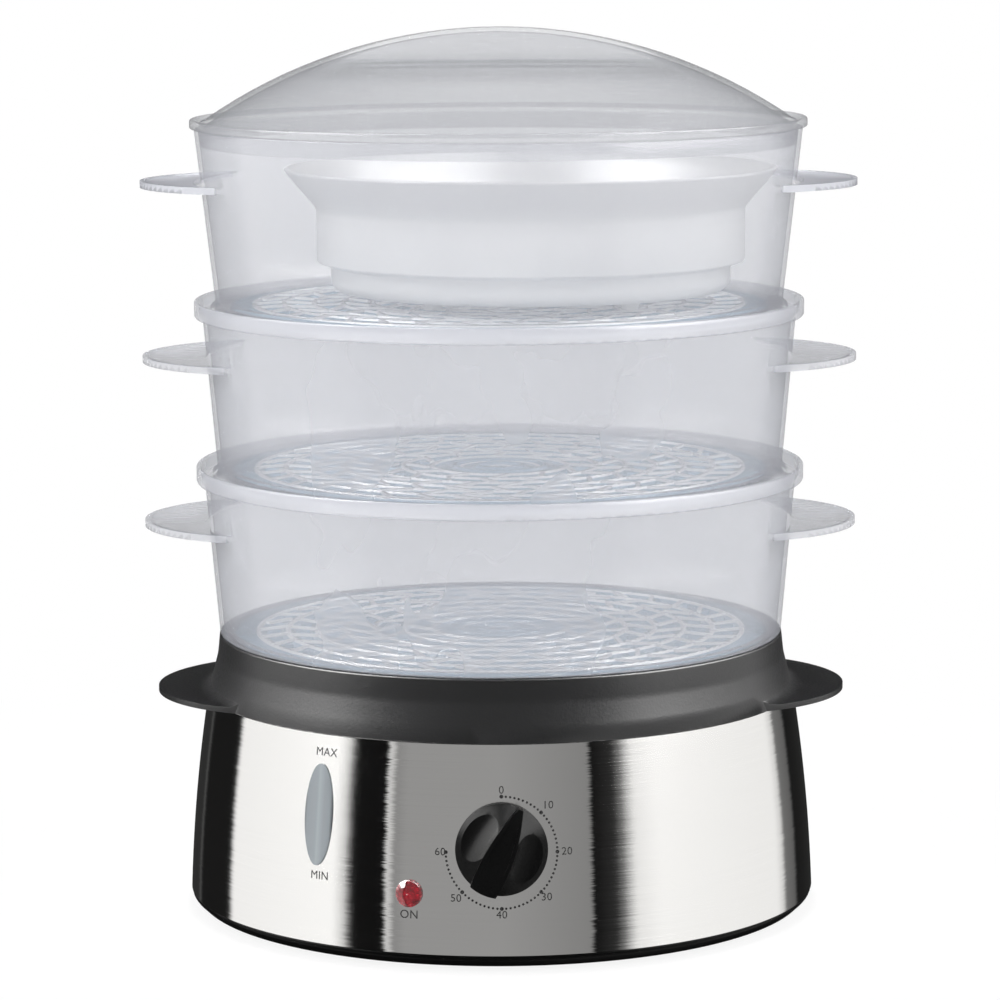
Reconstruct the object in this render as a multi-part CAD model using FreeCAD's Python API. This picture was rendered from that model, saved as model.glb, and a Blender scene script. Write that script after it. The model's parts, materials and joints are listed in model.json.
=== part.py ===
import FreeCAD, Part
import math
import os

from FreeCAD import Placement, Rotation, Vector

# Electric food steamer: a steel-banded base with a water tank, heater and timer, three stacked
# baskets, a rice bowl and a domed lid. Millimetres, +Z up, front towards -Y. The origin is on
# the stack's axis at the level of the feet. Angles on the base are counted from the front,
# positive towards +X.

# Clearances
shaft_clearance = 0.05
fixed_clearance = 0.1
seat_clearance = 0.3
spigot_clearance = 0.4

# Feet and bottom cover
foot_height = 2.0
foot_radius = 9.0
foot_stem_radius = 3.5
foot_stem_head = 2.0
foot_head_overhang = 1.2
foot_inset = 25.5
foot_count = 4
cover_floor = 2.5
skirt_inset = 0.4
skirt_tuck = 3.8
skirt_height = 5.6
skirt_round = 3.6
cover_upstand = 6.4
cover_wall = 2.0
vent_radius = 3.0
vent_circle = 50.0
vent_pitch = 9.0
vent_rows = 3
vents_per_row = 10

# Steel band
band_thickness = 0.8
band_bottom_radius = 143.9
band_taper = 9.0
band_bulge = 1.4
band_height = 91.1
rear_panel_sweep = 34.0
rear_panel_gap = 0.05

# Collar with its two handles, and a shelf inside that carries the tank
collar_height = 27.6
collar_waist_height = 17.3
collar_waist_inset = 4.5
collar_top_inset = 5.6
collar_rim_width = 4.3
collar_wall = 4.0
collar_tuck = 9.0
collar_tuck_wall = 2.2
collar_shelf_width = 6.0
collar_handle_overhang = 23.1
collar_handle_radius = 71.0
collar_handle_thickness = 2.4
collar_handle_sweep = 9.0

# Water tank with its ledge
ledge_drop = 14.3
ledge_width = 29.0
housing_wall = 2.5
tank_floor_height = 24.0

# Screws that hold the bottom cover
cover_screw_inset = 8.0
cover_screw_count = 4
screw_head_radius = 3.6
screw_head_height = 2.4
screw_slot = 0.8
screw_shank_radius = 2.0
screw_shank_length = 13.0
screw_boss_radius = 5.5
screw_hole_spare = 0.5

# Heater in the tank floor
heater_opening = 33.0
heater_plate_radius = 38.0
heater_plate_thickness = 4.0
heater_boss_radius = 30.0
heater_boss_depth = 7.0
seal_thickness = 1.5
clamp_radius = 41.0
clamp_bore = 24.0
clamp_thickness = 2.0
clamp_screw_circle = 27.0
clamp_screw_count = 3
clamp_screw_radius = 1.5
clamp_screw_head = 2.4
clamp_screw_head_height = 1.8
clamp_screw_length = 6.0
coil_ring_radius = 19.5
coil_wire_radius = 3.2
coil_sweep = 310.0
coil_end_length = 12.0
thermostat_radius = 8.0
thermostat_height = 7.0
thermostat_tab_offset = 4.5
thermostat_tab_width = 4.0
thermostat_tab_length = 3.0
thermostat_tab_thickness = 0.8
fuse_radius = 1.8
fuse_length = 11.0
fuse_offset = 12.0

# Steam sleeve round the heater
sleeve_radius = 46.0
sleeve_wall = 2.0
sleeve_top_gap = 5.0
sleeve_flange = 4.0
sleeve_notch_width = 12.0
sleeve_notch_height = 8.0
sleeve_notch_count = 6

# Drip tray with its chimney
tray_side_gap = 6.0
tray_wall = 1.8
tray_rim_height = 7.7
chimney_radius = 26.0
chimney_height = 8.7
tray_guide_depth = 7.0
tray_guide_gap = 1.0

# Baskets
seat_pitch = 75.4
basket_wall = 1.8
basket_foot_inset = 0.2
basket_flare = 6.1
basket_spigot_depth = 4.0
basket_spigot_flange = 3.8
grid_shelf = 1.5
rim_step = 3.8
rim_height = 7.5
rim_lip = 2.2
rim_lip_rise = 2.1
shelf_overhang = 2.2
top_basket_height = 79.9
top_rim_inset = 1.0
basket_handle_overhang = 24.0
basket_handle_radius = 65.4
basket_handle_thickness = 3.0
basket_handle_height = 50.7
top_handle_height = 54.9
handle_lip_width = 2.6
handle_lip_height = 0.7

# Basket floor grids
grid_thickness = 2.0
grid_rib_height = 0.9
grid_rib_width = 2.0
grid_rib_sink = 0.5
grid_hub_radius = 31.0
grid_hub_ribs = 2
grid_edge_width = 11.1
grid_ring_count = 6
grid_slot_width = 6.4
grid_slot_spacing = 19.0
grid_bar_width = 6.0

# Rice bowl
bowl_offset = 14.5
bowl_foot_height = 5.0
bowl_foot_radius = 4.0
bowl_foot_inset = 29.0
bowl_foot_count = 4
bowl_wall = 2.0
bowl_rim_gap = 25.0
bowl_rim_flare = 15.5
bowl_step = 6.5
bowl_step_rise = 1.5
bowl_lower_height = 12.0
bowl_upper_height = 26.0
bowl_flare_height = 18.0
bowl_round = 6.0

# Lid
lid_thickness = 2.2
lid_top_rise = 45.0
lid_dome_foot = 3.0
lid_flange_overhang = 2.0
lid_flange_height = 4.0
lid_flange_width = 4.6
lid_spigot_depth = 8.0
lid_spigot_wall = 1.8
lid_spigot_clearance = 0.5
scoop_floor_drop = 18.4
scoop_floor_reach = 50.0
crest_half_width = 9.0
crest_edge_drop = 2.0

# Timer, its knob and shaft
timer_height = 54.3
timer_case_radius = 22.0
timer_case_depth = 22.0
timer_case_gap = 3.2
timer_tag_offset = 8.0
timer_tag_width = 8.0
timer_tag_length = 5.0
timer_tag_depth = 9.0
timer_tag_thickness = 1.0
timer_tag_overhang = 6.0
timer_bush_radius = 5.0
timer_bush_reach = 3.6
timer_nut_width = 13.0
timer_nut_thickness = 2.6
timer_bell_radius = 19.0
timer_bell_depth = 5.0
timer_bell_wall = 1.0
timer_bell_stem = 2.0
timer_shaft_radius = 3.0
timer_shaft_tail = 16.0
timer_shaft_nose = 13.0
timer_shaft_flat = 0.8
timer_shaft_flat_length = 8.0
knob_radius = 20.0
knob_gap = 1.0
knob_disc_height = 4.6
knob_height = 15.0
knob_back_round = 0.6
knob_chamfer = 2.0
knob_crown_radius = 60.0
knob_hollow_radius = 11.0
knob_hollow_depth = 4.0
knob_scoop_radius = 14.5
knob_pointer_reach = 17.0
knob_pointer_half_width = 2.0
knob_tail_reach = 18.0
knob_tail_half_width = 6.2
knob_grip_bulge = 1.8
knob_crest_width = 1.5
knob_valley_radius = 12.0
knob_valley_depth = 1.8
knob_pointer_angle = 25.0

# Indicator lamp
lamp_angle = -16.3
lamp_height = 33.9
lens_radius = 5.9
lens_rim = 1.2
lens_dome = 2.0
lens_stem_radius = 4.4
lens_stem_length = 8.0
lens_wall = 1.0
lamp_holder_radius = 7.0
lamp_holder_length = 12.0
lamp_holder_gap = 1.4
lamp_bulb_radius = 2.4
lamp_bulb_length = 8.0

# Water gauge
gauge_angle = -34.8
gauge_drop = 34.7
gauge_half_width = 7.3
gauge_half_height = 22.3
gauge_pane_proud = 0.4
gauge_flange = 2.6
gauge_flange_gap = 1.6
gauge_flange_thickness = 1.6
gauge_seal_thickness = 1.0
gauge_chamber_depth = 12.0
gauge_chamber_wall = 1.8
gauge_port_drop = 15.0
gauge_port_radius = 3.0
gauge_port_bore = 1.8
gauge_port_length = 8.0
gauge_tube_wall = 1.5
gauge_tube_overlap = 6.0

# Cord gland, clamp and terminals at the back
gland_angle = 180.0
gland_height = 27.0
gland_bore = 3.6
gland_body_radius = 6.0
gland_flange_radius = 9.5
gland_flange_thickness = 3.0
gland_tail_radius = 5.6
gland_length_outside = 10.0
gland_length_inside = 9.0
gland_nut_gap = 1.5
gland_nut_thickness = 4.0
clamp_saddle_length = 26.0
clamp_saddle_depth = 8.0
clamp_saddle_thickness = 3.0
clamp_saddle_inset = 25.0
clamp_groove_sink = 1.2
clamp_post_radius = 3.5
terminal_angle = 150.0
terminal_inset = 26.0
terminal_length = 34.0
terminal_depth = 13.0
terminal_height = 12.0
terminal_ways = 3
terminal_pocket_radius = 2.6
terminal_pocket_floor = 4.0
lead_radius = 1.3
lead_level = 9.0
lead_low_level = 7.0
lead_stub = 14.0
lead_gap = 1.0

# Heights that follow from the sizes above
band_bottom = foot_height + skirt_height
band_top = band_bottom + band_height
cover_top = foot_height + cover_floor
collar_top = band_top + collar_height
ledge_top = collar_top - ledge_drop
ledge_bottom = ledge_top - housing_wall
tank_floor_bottom = tank_floor_height - housing_wall
seats = [collar_top + level * seat_pitch for level in range(3)]
top_rim = seats[2] + top_basket_height
grid_bottom = seats[0] - basket_spigot_depth + grid_shelf + fixed_clearance
grid_top = grid_bottom + grid_thickness + grid_rib_height
bowl_bottom = grid_top + 2 * seat_pitch + seat_clearance + bowl_foot_height
lid_seat = top_rim + seat_clearance
lid_top = top_rim + lid_top_rise
plate_bottom = tank_floor_height + seal_thickness
boss_bottom = plate_bottom - heater_boss_depth
sleeve_height = ledge_top - tank_floor_height - sleeve_top_gap
gauge_height = band_top - gauge_drop

# Radii that follow, from the base up to the lid
skirt_radius = band_bottom_radius - skirt_inset
foot_circle = skirt_radius - foot_inset
clamp_saddle_circle = band_bottom_radius - clamp_saddle_inset
terminal_circle = band_bottom_radius - terminal_inset
band_top_radius = band_bottom_radius - band_taper
collar_waist_radius = band_top_radius - collar_waist_inset
collar_top_radius = band_top_radius - collar_top_inset
collar_inner_radius = collar_top_radius - collar_rim_width
collar_handle_reach = band_top_radius + collar_handle_overhang
tank_radius = collar_inner_radius - ledge_width
cover_screw_circle = tank_radius - cover_screw_inset
tray_radius = collar_inner_radius - tray_side_gap
spigot_radius = collar_inner_radius - spigot_clearance
grid_radius = spigot_radius - basket_wall - seat_clearance
grid_ring_pitch = (grid_radius - grid_edge_width - grid_hub_radius) / grid_ring_count
basket_foot_radius = collar_top_radius - basket_foot_inset
basket_shoulder_radius = basket_foot_radius + basket_flare
shelf_radius = collar_top_radius + shelf_overhang
rim_radius = basket_shoulder_radius + rim_step
basket_handle_reach = rim_radius + basket_handle_overhang
top_basket_radius = rim_radius - top_rim_inset
bowl_rim_radius = top_basket_radius - bowl_rim_gap
bowl_upper_radius = bowl_rim_radius - bowl_rim_flare
bowl_lower_radius = bowl_upper_radius - bowl_step
bowl_foot_circle = bowl_lower_radius - bowl_foot_inset
lid_flange_radius = top_basket_radius + lid_flange_overhang
lid_dome_edge = top_basket_radius - basket_wall - lid_spigot_clearance - lid_spigot_wall
lid_dome_rise = lid_top - lid_seat - lid_dome_foot
lid_dome_radius = (lid_dome_edge**2 + lid_dome_rise**2) / (2 * lid_dome_rise)

# The steel band's outer face is an arc in section
band_lean = math.atan2(band_bottom_radius - band_top_radius, band_height)
band_chord = math.hypot(band_bottom_radius - band_top_radius, band_height)
band_arc_radius = (band_chord**2 / 4 + band_bulge**2) / (2 * band_bulge)
band_centre_radius = (band_bottom_radius + band_top_radius) / 2 - (
    band_arc_radius - band_bulge
) * math.cos(band_lean)
band_centre_height = (band_bottom + band_top) / 2 - (
    band_arc_radius - band_bulge
) * math.sin(band_lean)


def band_radius(height, inset=0.0):
    """Radius of the steel band's outer face at a height, or of a face set in from it."""
    rise = height - band_centre_height
    return band_centre_radius + math.sqrt((band_arc_radius - inset) ** 2 - rise**2)


def panel_placement(angle, height):
    """Local +Z stands out of the steel band's face at that angle and height, and +Y points up."""
    tilt = math.degrees(math.asin((height - band_centre_height) / band_arc_radius))
    turn = Rotation(Vector(0, 0, 1), angle).multiply(Rotation(Vector(1, 0, 0), 90 - tilt))
    radius = band_radius(height)
    spot = Vector(
        radius * math.sin(math.radians(angle)), -radius * math.cos(math.radians(angle)), height
    )
    return Placement(spot, turn)


def on_panel(shape, angle, height):
    """The shape moved from the local panel frame to its place on the band."""
    placed = shape.copy()
    placed.Placement = panel_placement(angle, height).multiply(placed.Placement)
    return placed


def turned(shape, angle):
    """The shape turned about the stack's axis."""
    copy = shape.copy()
    copy.rotate(Vector(0, 0, 0), Vector(0, 0, 1), angle)
    return copy


def disc(radius, low, high, x=0.0, y=0.0):
    """Upright cylinder between two heights."""
    return Part.makeCylinder(radius, high - low, Vector(x, y, low))


def tube_ring(inner, outer, low, high):
    """Upright ring between two radii and two heights."""
    return disc(outer, low, high).cut(disc(inner, low - 1, high + 1))


def circle_spots(count, radius, start=0.0):
    """Evenly spaced x, y points on a circle."""
    angles = [math.radians(start + 360.0 * index / count) for index in range(count)]
    return [(radius * math.cos(angle), radius * math.sin(angle)) for angle in angles]


def outline(corners):
    """Closed wire in the XZ plane. A corner is (x, z), or (x, z, rounding)."""
    points = [Vector(corner[0], 0, corner[1]) for corner in corners]
    rounds = [corner[2] if len(corner) > 2 else 0.0 for corner in corners]
    count = len(points)
    joints = []
    for index in range(count):
        here = points[index]
        back = (points[index - 1] - here).normalize()
        onward = (points[(index + 1) % count] - here).normalize()
        if rounds[index] == 0.0:
            joints.append((here, None, here))
            continue
        half = back.getAngle(onward) / 2
        reach = rounds[index] / math.tan(half)
        inward = (back + onward).normalize()
        centre = here + inward * (rounds[index] / math.sin(half))
        joints.append((here + back * reach, centre - inward * rounds[index], here + onward * reach))
    edges = []
    for index in range(count):
        start, middle, end = joints[index]
        if middle is not None:
            edges.append(Part.Arc(start, middle, end).toShape())
        following = joints[(index + 1) % count][0]
        if end.distanceToPoint(following) > 1e-6:
            edges.append(Part.makeLine(end, following))
    return Part.Wire(edges)


def revolved(corners):
    """Solid of revolution of an outline about the stack's axis."""
    return Part.Face(outline(corners)).revolve(Vector(0, 0, 0), Vector(0, 0, 1), 360)


def fused(shapes):
    """One solid from several."""
    return shapes[0].multiFuse(shapes[1:]).removeSplitter()


def ellipse_prism(half_width, half_height, low, high):
    """Prism along local Z on an upright ellipse."""
    curve = Part.Ellipse(Vector(0, half_height, 0), Vector(half_width, 0, 0), Vector(0, 0, 0))
    face = Part.Face(Part.Wire(curve.toShape()))
    face.translate(Vector(0, 0, low))
    return face.extrude(Vector(0, 0, high - low))


def screw(head_radius, head_height, shank_radius, shank_length, x, y, seat):
    """Screw whose head hangs below its seat and whose shank points up."""
    head = disc(head_radius, seat - head_height, seat, x, y)
    corner = Vector(x - head_radius, y - screw_slot / 2, seat - head_height)
    slot = Part.makeBox(2 * head_radius, screw_slot, screw_slot, corner)
    return head.cut(slot).fuse(disc(shank_radius, seat, seat + shank_length, x, y))


def basket_tabs(middle, root_radius):
    """Pair of round tabs with a raised edge, cut off at the radius where they join the wall."""
    top = middle + basket_handle_thickness / 2
    bottom = top - basket_handle_thickness
    tabs = []
    for side in (-1, 1):
        centre = side * (basket_handle_reach - basket_handle_radius)
        tab = disc(basket_handle_radius, bottom, top, centre)
        well = disc(basket_handle_radius - handle_lip_width, top - handle_lip_height, top + 1, centre)
        tabs.append(tab.cut(well).cut(disc(root_radius, bottom - 1, top + 1)))
    return tabs


def collar_tabs(root_radius):
    """Pair of round plates on the collar, each sweeping up to its wall in a hollow curve."""
    plate_top = band_top + collar_handle_thickness
    sweep_top = plate_top + collar_handle_sweep
    wall = collar_waist_radius + fixed_clearance
    skirt = revolved(
        [
            (root_radius, band_top),
            (collar_handle_reach + 1, band_top),
            (collar_handle_reach + 1, plate_top),
            (wall, plate_top, collar_handle_sweep),
            (wall, sweep_top + 1),
            (wall - collar_wall / 2, sweep_top + 1),
        ]
    )
    centre = collar_handle_reach - collar_handle_radius
    return [skirt.common(disc(collar_handle_radius, 0, lid_top, side * centre)) for side in (-1, 1)]


def lead(points, radius=lead_radius):
    """Insulated lead along straight runs joined by tangent arcs, one solid."""
    edges = []
    start = points[0]
    for index in range(1, len(points) - 1):
        here = points[index]
        back = (points[index - 1] - here).normalize()
        onward = (points[index + 1] - here).normalize()
        half = back.getAngle(onward) / 2
        shorter = min(here.distanceToPoint(points[index - 1]), here.distanceToPoint(points[index + 1]))
        reach = 0.45 * shorter
        bend = reach * math.tan(half)
        inward = (back + onward).normalize()
        middle = here + inward * (bend / math.sin(half) - bend)
        edges.append(Part.makeLine(start, here + back * reach))
        edges.append(Part.Arc(here + back * reach, middle, here + onward * reach).toShape())
        start = here + onward * reach
    edges.append(Part.makeLine(start, points[-1]))
    path = Part.Wire(edges)
    direction = points[1] - points[0]
    section = Part.Wire(Part.makeCircle(radius, points[0], direction))
    solid = path.makePipeShell([section], True, False)
    expected = math.pi * radius**2 * path.Length
    print("lead", round(path.Length, 1), "mm, volume ratio", round(solid.Volume / expected, 4))
    return solid


def feet():
    """Rubber feet, each with a stem that grips the bottom cover."""
    made = []
    for x, y in circle_spots(foot_count, foot_circle, 45):
        pad = disc(foot_radius, 0, foot_height, x, y)
        stem = disc(foot_stem_radius, foot_height, cover_top, x, y)
        head_radius = foot_stem_radius + foot_head_overhang
        head = disc(head_radius, cover_top, cover_top + foot_stem_head, x, y)
        made.append(fused([pad, stem, head]))
    return Part.makeCompound(made)


def bottom_cover():
    """Floor plate whose rounded edge is the black skirt, with an upstand inside the steel band."""
    upstand_radius = band_radius(band_bottom + cover_upstand, band_thickness) - seat_clearance
    cover = revolved(
        [
            (0, foot_height),
            (skirt_radius - skirt_tuck, foot_height, 1.0),
            (skirt_radius, foot_height + skirt_round, skirt_round / 2),
            (skirt_radius, band_bottom),
            (upstand_radius, band_bottom),
            (upstand_radius, band_bottom + cover_upstand, 0.6),
            (upstand_radius - cover_wall, band_bottom + cover_upstand, 0.6),
            (upstand_radius - cover_wall, cover_top, 1.0),
            (0, cover_top),
        ]
    )
    head_seat = cover_top + fixed_clearance
    bosses = [
        disc(screw_boss_radius, cover_top - 1, head_seat + cover_floor, x, y)
        for x, y in circle_spots(cover_screw_count, cover_screw_circle)
    ]
    posts = [turned(post, gland_angle) for post in clamp_posts()]
    cover = fused([cover] + bosses + posts)
    for x, y in circle_spots(cover_screw_count, cover_screw_circle):
        cover = cover.cut(disc(screw_head_radius + fixed_clearance, 0, head_seat, x, y))
        cover = cover.cut(disc(screw_shank_radius + fixed_clearance, 0, band_bottom, x, y))
    for x, y in circle_spots(foot_count, foot_circle, 45):
        cover = cover.cut(disc(foot_stem_radius + fixed_clearance, 0, cover_top + 1, x, y))
    half_turn = 180.0 / vents_per_row
    for row in range(vent_rows):
        start = half_turn * (0.5 + row % 2)
        for x, y in circle_spots(vents_per_row, vent_circle + vent_pitch * row, start):
            cover = cover.cut(disc(vent_radius, 0, cover_top + 1, x, y))
    return cover


def cover_screws():
    """Screws up through the bottom cover into the tank moulding."""
    seat = cover_top + fixed_clearance
    sizes = (screw_head_radius, screw_head_height, screw_shank_radius, screw_shank_length)
    spots = circle_spots(cover_screw_count, cover_screw_circle)
    return Part.makeCompound([screw(*sizes, x, y, seat) for x, y in spots])


def band_shell(start, sweep):
    """Part of the shell between the skirt and the collar, from a start angle over a sweep."""
    levels = [band_bottom, (band_bottom + band_top) / 2, band_top]
    outer = [Vector(band_radius(z), 0, z) for z in levels]
    inner = [Vector(band_radius(z, band_thickness), 0, z) for z in levels[::-1]]
    wire = Part.Wire(
        [
            Part.Arc(*outer).toShape(),
            Part.makeLine(outer[2], inner[0]),
            Part.Arc(*inner).toShape(),
            Part.makeLine(inner[2], outer[0]),
        ]
    )
    return turned(Part.Face(wire).revolve(Vector(0, 0, 0), Vector(0, 0, 1), sweep), start)


def steel_band():
    """Brushed steel sheet round the base, open at the back, with its three openings."""
    gap = rear_panel_sweep + 2 * rear_panel_gap
    band = band_shell(90 + gap / 2, 360 - gap)
    reach = 6.0
    timer_hole = disc(timer_bush_radius + fixed_clearance, -reach, reach)
    lamp_hole = disc(lens_stem_radius + fixed_clearance, -reach, reach)
    gauge_hole = ellipse_prism(
        gauge_half_width + fixed_clearance, gauge_half_height + fixed_clearance, -reach, reach
    )
    band = band.cut(on_panel(timer_hole, 0, timer_height))
    band = band.cut(on_panel(lamp_hole, lamp_angle, lamp_height))
    return band.cut(on_panel(gauge_hole, gauge_angle, gauge_height))


def rear_panel():
    """Dark panel that closes the band at the back and carries the cord gland."""
    reach = 6.0
    gland_hole = disc(gland_body_radius + fixed_clearance, -reach, reach)
    panel = band_shell(90 - rear_panel_sweep / 2, rear_panel_sweep)
    return panel.cut(on_panel(gland_hole, gland_angle, gland_height))


def upper_housing():
    """Dark collar with two handles, tucked into the band, and the shelf that carries the tank."""
    tuck_radius = band_top_radius - band_thickness - fixed_clearance
    shelf_bottom = ledge_bottom - housing_wall
    body = revolved(
        [
            (collar_inner_radius - collar_shelf_width, shelf_bottom, 0.6),
            (collar_inner_radius + collar_wall / 2, shelf_bottom, 1.0),
            (tuck_radius - collar_tuck_wall, band_top),
            (tuck_radius - collar_tuck_wall, band_top - collar_tuck),
            (tuck_radius, band_top - collar_tuck),
            (tuck_radius, band_top),
            (band_top_radius, band_top, 0.3),
            (collar_waist_radius, band_top + collar_waist_height, 20.0),
            (collar_top_radius, collar_top, 1.0),
            (collar_inner_radius, collar_top, 0.6),
            (collar_inner_radius, ledge_bottom),
            (collar_inner_radius - collar_shelf_width, ledge_bottom),
        ]
    )
    return fused([body] + collar_tabs(tuck_radius - collar_tuck_wall / 2))


def water_tank():
    """Round tank that hangs in the collar by its ledge, with screw bosses and the gauge's port."""
    tank_outer = tank_radius + housing_wall
    ledge_outer = collar_inner_radius - fixed_clearance
    body = revolved(
        [
            (heater_opening, tank_floor_bottom),
            (tank_outer, tank_floor_bottom, 4.0),
            (tank_outer, ledge_bottom, 1.0),
            (ledge_outer, ledge_bottom),
            (ledge_outer, ledge_top, 0.6),
            (tank_radius, ledge_top, 1.0),
            (tank_radius, tank_floor_height, 4.0),
            (heater_opening, tank_floor_height),
        ]
    )
    seat = cover_top + fixed_clearance + cover_floor
    spots = circle_spots(cover_screw_count, cover_screw_circle)
    bosses = [disc(screw_boss_radius, seat, tank_floor_bottom + 1, x, y) for x, y in spots]
    port = on_panel(gauge_tank_port(), gauge_angle, gauge_height)
    body = fused([body, port] + bosses)
    hole_top = cover_top + fixed_clearance + screw_shank_length + screw_hole_spare
    for x, y in spots:
        body = body.cut(disc(screw_shank_radius + fixed_clearance, 0, hole_top, x, y))
    bore_end = tank_radius - band_radius(gauge_height) - 2 * housing_wall - gauge_port_length
    bore = disc(gauge_port_bore, bore_end, 0, 0, -gauge_port_drop)
    return body.cut(on_panel(bore, gauge_angle, gauge_height))


def gauge_chamber_back():
    """Local depth of the gauge chamber's back face."""
    return gauge_flange_gap + gauge_flange_thickness + gauge_seal_thickness + gauge_chamber_depth


def gauge_tank_port():
    """Stub on the tank wall that faces the gauge chamber's port."""
    near = -gauge_chamber_back() - 2 * gauge_port_length
    far = tank_radius - band_radius(gauge_height)
    return disc(gauge_port_radius, far, near, 0, -gauge_port_drop)


def gauge_window():
    """Clear oval pane with a flange behind the band."""
    pane = ellipse_prism(gauge_half_width, gauge_half_height, -gauge_flange_gap, gauge_pane_proud)
    flange = ellipse_prism(
        gauge_half_width + gauge_flange,
        gauge_half_height + gauge_flange,
        -gauge_flange_gap - gauge_flange_thickness,
        -gauge_flange_gap,
    )
    return on_panel(fused([pane, flange]), gauge_angle, gauge_height)


def gauge_seal():
    """Oval gasket between the window's flange and its chamber."""
    back = -gauge_flange_gap - gauge_flange_thickness
    outer = ellipse_prism(
        gauge_half_width + gauge_flange, gauge_half_height + gauge_flange, back - gauge_seal_thickness, back
    )
    inner = ellipse_prism(gauge_half_width, gauge_half_height, back - gauge_seal_thickness - 1, back + 1)
    return on_panel(outer.cut(inner), gauge_angle, gauge_height)


def gauge_chamber():
    """Cup behind the window, with a port for the tube to the tank."""
    front = -gauge_flange_gap - gauge_flange_thickness - gauge_seal_thickness
    back = -gauge_chamber_back()
    cup = ellipse_prism(gauge_half_width + gauge_flange, gauge_half_height + gauge_flange, back, front)
    hollow = ellipse_prism(
        gauge_half_width + gauge_flange - gauge_chamber_wall,
        gauge_half_height + gauge_flange - gauge_chamber_wall,
        back + gauge_chamber_wall,
        front + 1,
    )
    port = disc(gauge_port_radius, back - gauge_port_length, back + 1, 0, -gauge_port_drop)
    bore = disc(gauge_port_bore, back - 2 * gauge_port_length, front, 0, -gauge_port_drop)
    return on_panel(cup.cut(hollow).fuse(port).cut(hollow).cut(bore), gauge_angle, gauge_height)


def gauge_tube():
    """Soft tube pushed over both ports."""
    back = -gauge_chamber_back()
    near = back - gauge_port_length + gauge_tube_overlap
    far = back - 2 * gauge_port_length - gauge_tube_overlap
    outer = disc(gauge_port_radius + gauge_tube_wall, far, near, 0, -gauge_port_drop)
    bore = disc(gauge_port_radius + shaft_clearance, far - 1, near + 1, 0, -gauge_port_drop)
    return on_panel(outer.cut(bore), gauge_angle, gauge_height)


def heater_plate():
    """Aluminium plate on the tank floor, with a boss down through the opening."""
    plate = disc(heater_plate_radius, plate_bottom, plate_bottom + heater_plate_thickness)
    boss = disc(heater_boss_radius, boss_bottom, plate_bottom + 1)
    body = fused([plate, boss])
    top = boss_bottom - clamp_thickness + clamp_screw_length + screw_hole_spare
    for x, y in circle_spots(clamp_screw_count, clamp_screw_circle, 90):
        body = body.cut(disc(clamp_screw_radius + shaft_clearance, 0, top, x, y))
    return body


def heater_seal():
    """Rubber ring under the plate, with a sleeve through the opening."""
    gap = fixed_clearance
    return revolved(
        [
            (heater_boss_radius + gap, tank_floor_bottom),
            (heater_opening - gap, tank_floor_bottom),
            (heater_opening - gap, tank_floor_height),
            (heater_plate_radius + seal_thickness, tank_floor_height),
            (heater_plate_radius + seal_thickness, plate_bottom),
            (heater_boss_radius + gap, plate_bottom),
        ]
    )


def heater_clamp_ring():
    """Pressed ring that pulls the plate down on its seal."""
    step = heater_opening + 0.5
    ring = revolved(
        [
            (clamp_bore, boss_bottom - clamp_thickness),
            (clamp_radius, boss_bottom - clamp_thickness),
            (clamp_radius, tank_floor_bottom),
            (step, tank_floor_bottom),
            (step, boss_bottom),
            (clamp_bore, boss_bottom),
        ]
    )
    for x, y in circle_spots(clamp_screw_count, clamp_screw_circle, 90):
        ring = ring.cut(disc(clamp_screw_radius + fixed_clearance, 0, boss_bottom + 1, x, y))
    return ring


def heater_screws():
    """Screws that hold the clamp ring to the plate's boss."""
    seat = boss_bottom - clamp_thickness
    sizes = (clamp_screw_head, clamp_screw_head_height, clamp_screw_radius, clamp_screw_length)
    spots = circle_spots(clamp_screw_count, clamp_screw_circle, 90)
    return Part.makeCompound([screw(*sizes, x, y, seat) for x, y in spots])


def heater_coil():
    """Sheathed heating ring under the plate, with two cold ends turned down."""
    middle = boss_bottom - coil_wire_radius
    section = Part.Face(
        Part.Wire(Part.makeCircle(coil_wire_radius, Vector(coil_ring_radius, 0, middle), Vector(0, 1, 0)))
    )
    ring = section.revolve(Vector(0, 0, 0), Vector(0, 0, 1), coil_sweep)
    ring = turned(ring, 270 - coil_sweep / 2 + 180)
    spread = math.radians((360 - coil_sweep) / 2)
    ends = []
    for side in (-1, 1):
        x = side * coil_ring_radius * math.sin(spread)
        y = -coil_ring_radius * math.cos(spread)
        ends.append(Part.makeSphere(coil_wire_radius, Vector(x, y, middle)))
        ends.append(disc(coil_wire_radius * 0.6, middle - coil_end_length / 2, middle, x, y))
    return fused([ring] + ends)


def thermostat():
    """Round snap thermostat against the middle of the boss."""
    bottom = boss_bottom - thermostat_height
    parts = [disc(thermostat_radius, bottom, boss_bottom)]
    for side in (-1, 1):
        x = side * thermostat_tab_offset - thermostat_tab_thickness / 2
        corner = Vector(x, -thermostat_tab_width / 2, bottom - thermostat_tab_length)
        size = (thermostat_tab_thickness, thermostat_tab_width, thermostat_tab_length)
        parts.append(Part.makeBox(*size, corner))
    return fused(parts)


def thermal_fuse():
    """Fuse that lies against the boss beside the thermostat."""
    end = Vector(fuse_offset, -fuse_length / 2, boss_bottom - fuse_radius)
    return Part.makeCylinder(fuse_radius, fuse_length, end, Vector(0, 1, 0))


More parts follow.
